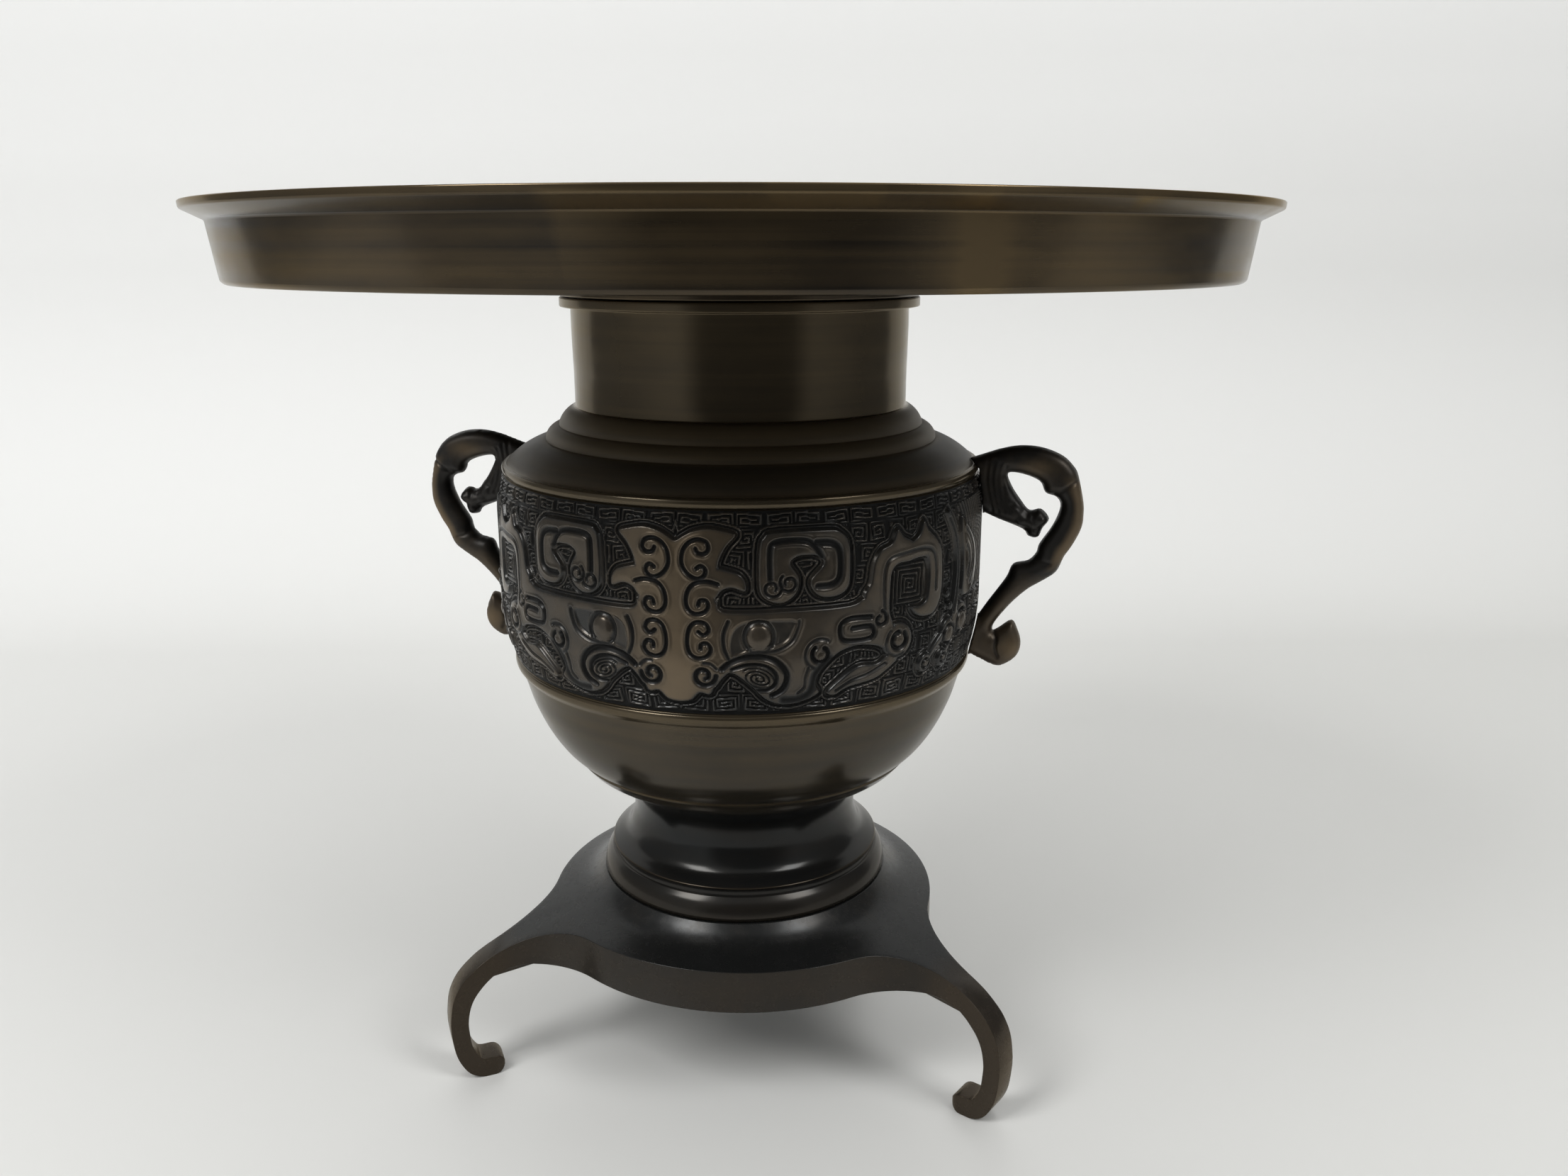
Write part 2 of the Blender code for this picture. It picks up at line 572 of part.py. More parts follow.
def build_stand(mat):
    shell = Shell()
    turn = math.radians(STAND_TURN)
    outline = []
    for leg in range(LEG_COUNT):
        outline += [(a + turn + 2.0 * math.pi * leg / LEG_COUNT, r) for a, r in lobe_outline()]
    count = len(outline)
    per_leg = count // LEG_COUNT

    def loop(radius_of, z_of):
        first = len(shell.verts)
        for a, r in outline:
            rho = radius_of(r)
            shell.verts.append((rho * math.cos(a), rho * math.sin(a), z_of(rho)))
        return list(range(first, first + count))

    # Upper side from the middle of the seat out to the edge.
    centre = len(shell.verts)
    shell.verts.append((0.0, 0.0, SEAT_HEIGHT))
    last = loop(lambda r: SEAT_R, stand_top)
    for i in range(count):
        shell.faces.append((centre, last[i], last[(i + 1) % count]))
    for share in (0.2, 0.5, 1.0):
        new = loop(lambda r, s=share: SEAT_R + (COLLAR_R - SEAT_R) * s, stand_top)
        shell.join(last, new)
        last = new
    for share in (0.5, 1.0):
        new = loop(lambda r, s=share: COLLAR_R + (r - COLLAR_R) * s, stand_top)
        shell.join(last, new)
        last = new
    edge_top = last
    # Lower edge, then the recess under the plate.
    edge_low = loop(lambda r: r, stand_under)
    lip = loop(lambda r: RECESS_R, lambda rho: PLATE_UNDER_Z)
    roof_z = SEAT_HEIGHT - RECESS_ROOF
    roof = loop(lambda r: RECESS_TOP_R, lambda rho: roof_z)
    shell.join(edge_low, lip)
    shell.join(lip, roof)
    middle = len(shell.verts)
    shell.verts.append((0.0, 0.0, roof_z))
    for i in range(count):
        j = (i + 1) % count
        shell.faces.append((middle, roof[j], roof[i]))
        if i % per_leg != per_leg - 1:
            shell.faces.append((edge_top[i], edge_low[i], edge_low[j], edge_top[j]))

    # Each leg grows out of the open part of the edge between two lobes.
    for leg in range(LEG_COUNT):
        right = leg * per_leg
        left = (right - 1) % count
        a = turn + 2.0 * math.pi * leg / LEG_COUNT
        out = (math.cos(a), math.sin(a))
        across = (-math.sin(a), math.cos(a))
        section = [edge_top[left], edge_top[right], edge_low[right], edge_low[left]]
        for outer, inner in leg_profile():
            first = len(shell.verts)
            for (rho, z), side in ((outer, -1.0), (outer, 1.0), (inner, 1.0), (inner, -1.0)):
                w = side * LEG_HALF_WIDTH
                shell.verts.append((rho * out[0] + w * across[0], rho * out[1] + w * across[1], z))
            new = list(range(first, first + 4))
            for k in range(4):
                m = (k + 1) % 4
                shell.faces.append((section[k], section[m], new[m], new[k]))
            section = new
        shell.faces.append(tuple(section))
    return add_object("tripod_stand", shell.verts, shell.faces, mat)


def body_outer_radius(up):
    # Radius of the body's outer side at a height above the frieze's foot, for the handle's seats.
    top = BAND_UP
    if up <= top:
        return frieze_radius(max(up, 0.0))
    z = FRIEZE_FOOT_H + FRIEZE_H * up / BAND_UP
    low = FRIEZE_FOOT_H + FRIEZE_H + 3.1 * MM
    if z <= low:
        return BEAD_R
    share = (z - low) / (STEP_ONE_H - low)
    return BEAD_R - 0.8 * MM - (BEAD_R - 0.8 * MM - STEP_ONE_R) * share + 3.6 * MM * share * (1.0 - share)


def handle_outline():
    # Closed outline as (out from the axis, up), with a flag on the points that rest on the vase.
    def free(point):
        return (FRIEZE_R + point[0] * MM, point[1], False)

    def seat(up):
        return (body_outer_radius(up) + FIT_GAP + 0.1 * MM, up, True)

    points = [seat(HANDLE_OUTER[0][1])] + [free(p) for p in HANDLE_OUTER[1:-1]]
    points += [seat(-0.6), seat(3.0), seat(7.0), seat(HANDLE_LOWER_TOP)]
    points += [free(p) for p in HANDLE_INNER]
    points += [seat(HANDLE_UPPER_FOOT), seat(49.5), seat(53.5), seat(56.0), seat(58.4)]
    return points


def distance_to_outline(x, y, outline):
    best = 1.0e9
    count = len(outline)
    for i in range(count):
        x1, y1 = outline[i]
        x2, y2 = outline[(i + 1) % count]
        dx = x2 - x1
        dy = y2 - y1
        t = ((x - x1) * dx + (y - y1) * dy) / (dx * dx + dy * dy)
        t = min(1.0, max(0.0, t))
        best = min(best, math.hypot(x - x1 - dx * t, y - y1 - dy * t))
    return best


def build_handle(name, side, mat):
    marked = handle_outline()
    scale = FRIEZE_H / BAND_UP
    outline = [(x, up * scale) for x, up, seated in marked]
    seated = [flag for x, up, flag in marked]
    count = len(outline)
    points = list(outline)
    # Inner points on a slanted net carry the swell of the casting.
    step = HANDLE_MESH
    low_x = min(p[0] for p in outline)
    high_x = max(p[0] for p in outline)
    low_y = min(p[1] for p in outline)
    high_y = max(p[1] for p in outline)
    row = 0
    y = low_y
    while y < high_y:
        x = low_x + (0.5 * step if row % 2 else 0.0)
        while x < high_x:
            if inside((x, y), outline) and distance_to_outline(x, y, outline) > 0.42 * step:
                points.append((x, y))
            x += step
        y += step * 0.87
        row += 1
    edges = [(i, (i + 1) % count) for i in range(count)]
    result = delaunay_2d_cdt([Vector(p) for p in points], edges, [], 1, 1e-7)
    flat = [(p.x, p.y) for p in result[0]]
    source = result[3]

    # The seat's own edge doesn't round off, so the swell is measured from the free edges only.
    runs = []
    for i in range(count):
        if not (seated[i] and seated[(i + 1) % count]):
            runs.append((outline[i], outline[(i + 1) % count]))

    def swell(x, y):
        best = 1.0e9
        for (x1, y1), (x2, y2) in runs:
            dx = x2 - x1
            dy = y2 - y1
            t = min(1.0, max(0.0, ((x - x1) * dx + (y - y1) * dy) / (dx * dx + dy * dy)))
            best = min(best, math.hypot(x - x1 - dx * t, y - y1 - dy * t))
        share = min(1.0, best / HANDLE_ROUND)
        rise = math.sqrt(1.0 - (1.0 - share) ** 2)
        return HANDLE_EDGE_HALF + (HANDLE_HALF_THICK - HANDLE_EDGE_HALF) * rise

    verts = []
    for half in (1.0, -1.0):
        for index, (x, y) in enumerate(flat):
            rim = [k for k in source[index] if k < count]
            thick = swell(x, y)
            reach = x
            if rim and seated[rim[0]]:
                reach = math.sqrt(x * x - thick * thick)
            verts.append((side * reach, half * thick, BODY_Z + FRIEZE_FOOT_H + y))
    total = len(flat)
    faces = []
    rims = {}
    for face in result[2]:
        a, b, c = face
        faces.append((a, b, c))
        faces.append((a + total, c + total, b + total))
        for pair in ((a, b), (b, c), (c, a)):
            rims[frozenset(pair)] = rims.get(frozenset(pair), 0) + 1
    for pair, uses in rims.items():
        if uses == 1:
            a, b = tuple(pair)
            faces.append((a, b, b + total, a + total))
    return add_object(name, verts, faces, mat)


build_dish(material("bronze_dish", (0.052, 0.041, 0.030), 0.36))
build_body(material("bronze_body", (0.046, 0.038, 0.029), 0.36))
build_handle("dragon_handle_left", -1.0, material("bronze_handle_left", (0.044, 0.037, 0.028), 0.38))
build_handle("dragon_handle_right", 1.0, material("bronze_handle_right", (0.044, 0.037, 0.028), 0.38))
build_pedestal(material("bronze_pedestal", (0.030, 0.025, 0.020), 0.30))
build_stand(material("bronze_stand", (0.038, 0.031, 0.024), 0.34))
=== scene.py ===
import math

import bmesh
import bpy
import numpy as np
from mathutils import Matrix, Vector
from mathutils.geometry import delaunay_2d_cdt


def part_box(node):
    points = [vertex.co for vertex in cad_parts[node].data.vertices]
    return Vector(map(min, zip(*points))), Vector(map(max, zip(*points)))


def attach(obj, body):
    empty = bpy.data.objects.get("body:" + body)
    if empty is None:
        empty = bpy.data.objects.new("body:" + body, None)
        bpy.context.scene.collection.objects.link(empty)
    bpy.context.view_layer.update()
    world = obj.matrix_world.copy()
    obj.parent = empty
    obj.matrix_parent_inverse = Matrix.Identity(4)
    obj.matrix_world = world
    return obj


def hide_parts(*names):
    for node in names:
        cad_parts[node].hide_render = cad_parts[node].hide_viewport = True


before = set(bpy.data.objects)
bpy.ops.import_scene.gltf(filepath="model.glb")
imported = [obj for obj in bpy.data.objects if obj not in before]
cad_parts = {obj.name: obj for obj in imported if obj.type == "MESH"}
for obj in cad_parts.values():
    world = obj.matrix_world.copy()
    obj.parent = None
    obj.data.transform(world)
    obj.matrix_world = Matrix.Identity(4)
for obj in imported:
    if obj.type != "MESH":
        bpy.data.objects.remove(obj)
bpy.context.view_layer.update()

# Shapes are worked out in millimetres and turned into metres when a mesh is made.
MM = 0.001


def low_z(node):
    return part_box(node)[0].z / MM


def high_z(node):
    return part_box(node)[1].z / MM


def out_x(node):
    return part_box(node)[1].x / MM


# Heights and radii that come from the frame. Loose pieces rest a small gap apart.
REST_GAP = 0.3
DISH_SEAT_Z = high_z("vase_body") + REST_GAP
DISH_TOP_Z = high_z("top_dish")
DISH_LOW_Z = low_z("top_dish")
DISH_R = out_x("top_dish")
BODY_LOW_Z = low_z("vase_body")
BODY_TOP_Z = high_z("vase_body")
FRIEZE_R = out_x("vase_body")
PEDESTAL_LOW_Z = low_z("pedestal")
PEDESTAL_TOP_Z = high_z("pedestal")
PEDESTAL_ROLL_R = out_x("pedestal")
SEAT_Z = high_z("tripod_stand")
HANDLE_OUT_X = out_x("dragon_handle_right")
HANDLE_HALF_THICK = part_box("dragon_handle_right")[1].y / MM

# Sizes of the body, counted from its underside.
EDGE_LINE_H = 7.0
EDGE_LINE_R = 53.4
BELLY_FOOT_R = 42.0
FRIEZE_FOOT_H = 41.2
BAND_UP = 55.4
BAND_ACROSS = 116.0
FRIEZE_FOOT_IN = 2.8
FRIEZE_TOP_IN = 1.5
BEAD_R = 72.4
STEP_ONE_H = 106.5
STEP_ONE_R = 59.2
STEP_TWO_H = 110.6
STEP_TWO_R = 55.1
NECK_FOOT_H = 116.0
NECK_R = 50.0
BORE_R = 46.0
FLANGE_H = 144.7
FLANGE_R = 53.4
WALL = 3.3
FLOOR_H = 4.2
BODY_COLUMNS = 192

# The frieze's relief: its height, the depth of its ground and the distance between fine lines.
RELIEF = 0.9
GROUND_DEPTH = 0.55
ECHO_PITCH = 1.15
FRET_PITCH = 1.14
CELL_MIDDLE = (65.9, 32.3)
CELL_HALF = 5.6
FRIEZE_COLUMNS = 440
FRIEZE_ROWS = 212

# Dish, counted from its seat on the neck's flange.
DISH_UNDER_H = 4.3
DISH_FLOOR_THICK = 3.0
DISH_FLOOR_R = 137.0
DISH_FOOT_R = 141.1
DISH_WALL_TOP_R = 144.2
DISH_WALL = 3.1
LIP_DROP = 4.6
SPIGOT_GAP = 0.8
SPIGOT_WALL = 3.2
DISH_COLUMNS = 240

# Pedestal: how far its ridge and waist lie inside its roll.
RIDGE_IN = 2.8
WAIST_IN = 10.1
PEDESTAL_MOUTH_R = 37.7
PEDESTAL_COLUMNS = 176

# Tripod stand.
LEG_COUNT = 3
STAND_TURN = -26.0
SEAT_R = 46.2
COLLAR_R = 57.5
COLLAR_DROP = 6.7
LOBE_REACH = 60.8
LOBE_ARC_R = 68.7
PLATE_UNDER_Z = 37.8
RECESS_R = 53.0
RECESS_TOP_R = 45.0
RECESS_ROOF = 5.5
STAND_BEVEL = 0.7
LEG_HALF_WIDTH = 4.2
LEG_ROOT_R = 85.5
LEG_ROOT_TOP = 41.9
LEG_OUT_R = 99.6
LEG_THICK = 5.6
FOOT_MID_R = 88.0
FOOT_BEND_H = 18.0
TOE_H = 6.4
TOE_R = FOOT_MID_R - 1.2

# Handles: the grain of their mesh, how far their sides swell and the thickness at their seats.
HANDLE_STEP = 0.62
HANDLE_SWELL = 4.4
SEAT_HALF_THICK = 2.2

# The camera, fitted to the photograph's circles: it stands to the right of the mask's middle.
CAMERA_TURN = 13.5
CAMERA_AWAY = 388.2
CAMERA_HEIGHT = 253.9
CAMERA_PITCH = 14.92
CAMERA_PAN = 1.925
CAMERA_LENS = 29.13
SENSOR_WIDTH = 36.0


# Meshes.

def new_object(name, data):
    obj = bpy.data.objects.new(name, data)
    bpy.context.scene.collection.objects.link(obj)
    return obj


def new_mesh(name, verts, faces, mat, layers):
    # A smooth mesh in millimetres with a number at each point for every layer.
    mesh = bpy.data.meshes.new(name)
    mesh.from_pydata((np.asarray(verts, float) * MM).tolist(), [], [tuple(f) for f in faces])
    mesh.polygons.foreach_set("use_smooth", [True] * len(mesh.polygons))
    for layer, values in layers.items():
        attribute = mesh.attributes.new(layer, "FLOAT", "POINT")
        attribute.data.foreach_set("value", np.asarray(values, np.float32))
    mesh.materials.append(mat)
    return mesh


def add_mesh(name, verts, faces, node, mat, layers, normals=None, crease=None):
    # Makes one shown piece that stands for a CAD node and rides on the root body.
    mesh = new_mesh(name, verts, faces, mat, layers)
    if normals is not None:
        mesh.normals_split_custom_set_from_vertices(np.asarray(normals, float).tolist())
    if crease is not None:
        with_bmesh(mesh, lambda shape: mark_sharp(shape, math.radians(crease)))
    obj = new_object(name, mesh)
    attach(obj, "root")
    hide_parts(node)
    return obj


def with_bmesh(mesh, change):
    shape = bmesh.new()
    shape.from_mesh(mesh)
    change(shape)
    shape.to_mesh(mesh)
    shape.free()


def mark_sharp(shape, limit):
    # Keeps the corners of a turned piece crisp.
    for edge in shape.edges:
        edge.smooth = not (len(edge.link_faces) == 2 and edge.calc_face_angle(0.0) > limit)


def face_outward(shape):
    bmesh.ops.recalc_face_normals(shape, faces=shape.faces)


def curve_through(points, steps, closed=False):
    # A smooth curve through the points, with this many stretches between two of them.
    pts = np.asarray(points, float)
    count = len(pts)
    near = np.arange(count if closed else count - 1)[:, None] + np.arange(-1, 3)
    near = near % count if closed else np.clip(near, 0, count - 1)
    p0, p1, p2, p3 = (pts[near[:, k], None] for k in range(4))
    t = np.arange(steps)[:, None] / steps
    out = 2 * p1 + (p2 - p0) * t + (2 * p0 - 5 * p1 + 4 * p2 - p3) * t * t
    out = 0.5 * (out + (3 * p1 - p0 - 3 * p2 + p3) * t ** 3)
    out = out.reshape(-1, 2)
    return out if closed else np.vstack([out, pts[-1:]])


def rounded(points, radius, steps=4):
    # Rounds the corners of a profile by cutting each one with a short curve.
    pts = np.asarray(points, float)
    out = [pts[0]]
    for before, corner, after in zip(pts, pts[1:], pts[2:]):
        ends = []
        for run in (before - corner, after - corner):
            length = np.linalg.norm(run)
            ends.append(corner + run / length * min(radius, 0.45 * length))
        for t in np.linspace(0, 1, steps + 1):
            out.append((1 - t) ** 2 * ends[0] + 2 * t * (1 - t) * corner + t * t * ends[1])
    return np.array(out + [pts[-1]])


def swell(start, end, bulge, steps):
    # A shallow outward curve between two points of a profile, without the first of them.
    a = np.asarray(start, float)
    run = np.asarray(end, float) - a
    side = np.array([run[1], -run[0]]) / np.linalg.norm(run)
    return [tuple(a + run * t + side * 4 * bulge * t * (1 - t)) for t in np.linspace(0, 1, steps + 1)[1:]]


def quads(index):
    # The faces of a grid of point numbers.
    corners = (index[:-1, :-1], index[:-1, 1:], index[1:, 1:], index[1:, :-1])
    return np.stack([c.ravel() for c in corners], 1).tolist()


def lathe(profile, columns, closed=False, cap=None):
    # Turns a profile of (radius, height) round the axis. A fan can close its first ring, cap 0, or
    # its last ring, cap -1.
    profile = np.asarray(profile, float)
    reach = profile[:, 0:1]
    turn = np.linspace(0, math.tau, columns, endpoint=False)
    height = np.repeat(profile[:, 1:2], columns, axis=1)
    verts = np.stack([reach * np.cos(turn), reach * np.sin(turn), height], -1).reshape(-1, 3)
    index = np.arange(len(verts)).reshape(-1, columns)
    index = np.hstack([index, index[:, :1]])
    faces = quads(np.vstack([index, index[:1]]) if closed else index)
    if cap is not None:
        centre = len(verts)
        verts = np.vstack([verts, [[0.0, 0.0, profile[cap, 1]]]])
        for a, b in zip(index[cap, :-1], index[cap, 1:]):
            faces.append((b, a, centre) if cap == 0 else (a, b, centre))
    return verts, faces


def read_off(places, table):
    # Reads a table of (place, amount) at many places.
    return np.interp(places, *np.transpose(table))


# Distances and shapes on a drawing.

def distance_to_line(x, y, line, closed=False):
    # Distance from every point to a polyline.
    pts = np.asarray(line, float)
    starts = pts if closed else pts[:-1]
    ends = np.roll(pts, -1, axis=0) if closed else pts[1:]
    best = np.full(x.shape, 1e9)
    for (x1, y1), (x2, y2) in zip(starts, ends):
        dx = x2 - x1
        dy = y2 - y1
        length = dx * dx + dy * dy
        if length < 1e-12:
            continue
        t = np.clip(((x - x1) * dx + (y - y1) * dy) / length, 0.0, 1.0)
        np.minimum(best, (x - x1 - dx * t) ** 2 + (y - y1 - dy * t) ** 2, out=best)
    return np.sqrt(best)


def inside(x, y, outline):
    pts = np.asarray(outline, float)
    hit = np.zeros(x.shape, bool)
    for (x1, y1), (x2, y2) in zip(pts, np.roll(pts, -1, axis=0)):
        if y1 == y2:
            continue
        hit ^= ((y1 > y) != (y2 > y)) & (x < x1 + (y - y1) / (y2 - y1) * (x2 - x1))
    return hit


def depth_inside(x, y, outline):
    # Positive inside the outline, negative outside, in millimetres.
    d = distance_to_line(x, y, outline, closed=True)
    return np.where(inside(x, y, outline), d, -d)


def soft_step(value, width):
    t = np.clip(value / width + 0.5, 0.0, 1.0)
    return t * t * (3 - 2 * t)


def bell(value, middle, wide):
    # 1 at the middle, falling off smoothly to both sides.
    return np.exp(-((value - middle) / wide) ** 2)


def dome(x, y, middle, radius, stretch=1.0):
    # 1 at the middle, 0 from the radius on.
    return np.clip(1 - ((x - middle[0]) ** 2 + ((y - middle[1]) / stretch) ** 2) / radius ** 2, 0, 1)


def spiral(centre, start_r, end_r, start_deg, end_deg, squash=1.0, tilt=0.0, steps=28):
    # Points of a spiral, flattened and tilted for the oval ones.
    t = np.linspace(0, 1, steps)
    a = np.radians(start_deg + (end_deg - start_deg) * t)
    r = start_r + (end_r - start_r) * t
    x = r * np.cos(a)
    y = r * np.sin(a) * squash
    c = math.cos(math.radians(tilt))
    s = math.sin(math.radians(tilt))
    return np.stack([centre[0] + x * c - y * s, centre[1] + x * s + y * c], 1)


# The frieze, drawn on a quarter turn: millimetres to the right of the mask's nose and up from the
# foot of the band. Its figures overlap, and where they do they are one raised casting.
NOSE_PANEL = [
    (-3.4, 4.4), (-2.0, 49.3), (0.0, 48.2), (2.0, 49.3), (4.5, 50.6), (8.5, 51.4), (12.5, 50.8),
    (15.8, 49.6), (13.4, 46.6), (11.9, 43.8), (11.2, 41.0), (10.5, 32.6), (11.0, 30.6), (9.6, 8.2),
    (5.6, 6.6), (3.4, 4.4), (0.0, 3.7),
]
HORN = [
    (7.0, 41.6), (10.6, 41.2), (14.0, 40.4), (16.8, 39.3), (18.3, 37.0), (18.0, 34.6), (14.6, 35.6),
    (12.0, 34.8), (10.4, 32.8), (7.0, 31.0),
]
FACE = [
    (6.0, 29.4), (10.6, 30.8), (11.4, 30.0), (14.5, 29.3), (30.0, 29.4), (46.0, 29.5), (50.3, 31.0),
    (56.0, 31.0), (57.4, 22.0), (57.4, 15.8), (54.2, 16.9), (48.6, 17.9), (43.4, 16.8), (40.4, 14.4),
    (37.6, 11.2), (36.9, 8.0), (38.0, 5.8), (34.6, 3.8), (30.0, 2.8), (25.6, 3.4), (22.4, 5.4), (19.8, 8.4),
    (14.4, 12.5), (11.6, 10.6), (9.6, 8.2), (6.0, 9.0),
]
HOOK_POST = [
    (50.3, 31.0), (52.2, 34.5), (53.2, 40.0), (55.4, 43.4), (58.8, 44.8), (61.0, 48.3), (63.4, 45.8),
    (66.2, 44.4), (67.4, 42.0), (66.2, 38.9), (61.4, 38.6), (59.2, 36.6), (58.7, 31.0), (58.7, 26.0),
    (60.0, 20.0), (52.0, 22.0),
]
HOOK_END = [
    (62.0, 42.0), (64.4, 45.1), (66.2, 44.4), (68.8, 45.8), (71.0, 49.2), (72.8, 46.4), (76.5, 43.3),
    (79.0, 39.2), (79.4, 30.0), (78.2, 25.2), (75.4, 22.4), (71.2, 22.2), (67.8, 23.6), (66.2, 26.0),
    (69.4, 25.8), (72.4, 27.4), (73.2, 33.0), (72.4, 38.4), (69.0, 39.1), (64.0, 38.9),
]
LEAF = [
    (40.3, 5.4), (43.2, 8.4), (48.8, 12.2), (54.6, 12.0), (57.4, 13.4), (61.0, 16.0), (62.4, 12.4),
    (57.6, 8.8), (54.0, 7.2), (46.4, 6.1), (42.4, 4.2),
]
SQUARE_SCROLL = [
    (21.4, 36.6), (21.6, 46.0), (22.8, 49.0), (25.6, 50.2), (40.0, 50.3), (43.6, 49.2), (45.8, 46.2),
    (46.2, 38.6), (45.6, 34.4), (42.8, 32.3), (38.4, 32.2), (35.8, 34.0), (35.0, 37.2), (38.4, 41.2),
    (37.0, 43.2), (34.0, 43.7), (31.2, 43.3), (29.8, 41.7), (32.0, 38.0), (31.4, 34.0), (28.6, 31.6),
    (25.4, 31.4), (22.4, 33.2),
]
WING = [
    (90.2, 47.6), (94.6, 44.0), (99.6, 39.6), (102.6, 34.4), (102.4, 29.0), (99.2, 24.8), (94.4, 23.4),
    (91.2, 25.0), (91.6, 31.0), (91.3, 37.0), (90.0, 42.6),
]
WING_LINE = [(82.4, 50.0), (86.2, 43.6), (88.3, 35.0), (87.8, 26.0), (86.2, 17.0)]
CURLS = [
    ((61.6, 17.3), 5.2), ((84.0, 15.4), 4.1), ((91.0, 17.8), 4.6), ((73.6, 8.2), 2.9), ((82.6, 7.6), 2.7),
]
EYE_CENTRE = (21.5, 22.4)
EYE_R = 3.2
SOCKET = [
    (14.0, 16.6), (13.6, 21.6), (15.0, 25.2), (18.4, 27.0), (23.0, 27.2), (31.2, 26.8), (30.6, 23.8),
    (28.6, 20.8), (25.0, 19.4), (20.0, 19.2), (16.6, 17.6),
]
# Small round bosses as (centre, radius, height over the sunken surface, stretch upwards).
BOSSES = [
    (EYE_CENTRE, EYE_R, 1.3, 1.1), ((38.0, 16.4), 1.3, 0.75, 1.0), ((61.9, 17.1), 1.6, 0.75, 1.0),
    ((24.9, 35.4), 1.1, 0.5, 1.0), ((29.3, 36.6), 1.1, 0.5, 1.0), ((7.0, 11.8), 1.2, 0.4, 1.0),
    ((84.0, 14.4), 2.2, 0.9, 1.0), ((92.0, 16.6), 2.7, 1.0, 1.0), ((55.4, 24.4), 0.9, 0.35, 1.0),
    ((81.8, 26.6), 1.3, 0.9, 1.0), ((83.6, 22.8), 1.5, 0.9, 1.0), ((80.9, 23.2), 0.9, 0.6, 1.0),
]


def band_outline(line, first_width, last_width):
    # Closed outline of a band that follows a line and changes its width evenly.
    line = curve_through(line, 4)
    run = np.gradient(line, axis=0)
    side = np.stack([-run[:, 1], run[:, 0]], 1) / np.linalg.norm(run, axis=1, keepdims=True)
    half = 0.5 * np.linspace(first_width, last_width, len(line))[:, None]
    return np.vstack([line + side * half, (line - side * half)[::-1]])


def figure_outlines():
    outlines = [NOSE_PANEL, HORN, FACE, HOOK_POST, HOOK_END, LEAF, SQUARE_SCROLL, WING]
    outlines = [curve_through(o, 5, closed=True) for o in outlines]
    outlines.append(band_outline(WING_LINE, 1.4, 3.6))
    outlines.append(band_outline([(83.0, 16.0), (78.4, 13.0), (74.6, 9.4)], 2.6, 1.6))
    outlines.append(band_outline([(86.0, 14.0), (84.2, 11.0), (83.0, 8.0)], 2.6, 1.8))
    outlines += [spiral(centre, radius, radius, 0, 345, steps=24) for centre, radius in CURLS]
    return outlines


def joined_depth(u, v, outlines):
    # Depth inside the joined figures, from the parts of each outline that lie in no other figure.
    within = np.zeros(u.shape, bool)
    nearest = np.full(u.shape, 1e9)
    for number, outline in enumerate(outlines):
        within |= inside(u, v, outline)
        ends = np.roll(outline, -1, axis=0)
        middle = 0.5 * (outline + ends)
        hidden = np.zeros(len(outline), bool)
        for other, shape in enumerate(outlines):
            if other != number:
                hidden |= inside(middle[:, 0], middle[:, 1], shape)
        for a, b in zip(outline[~hidden], ends[~hidden]):
            np.minimum(nearest, distance_to_line(u, v, (a, b)), out=nearest)
    return np.where(within, nearest, -nearest)


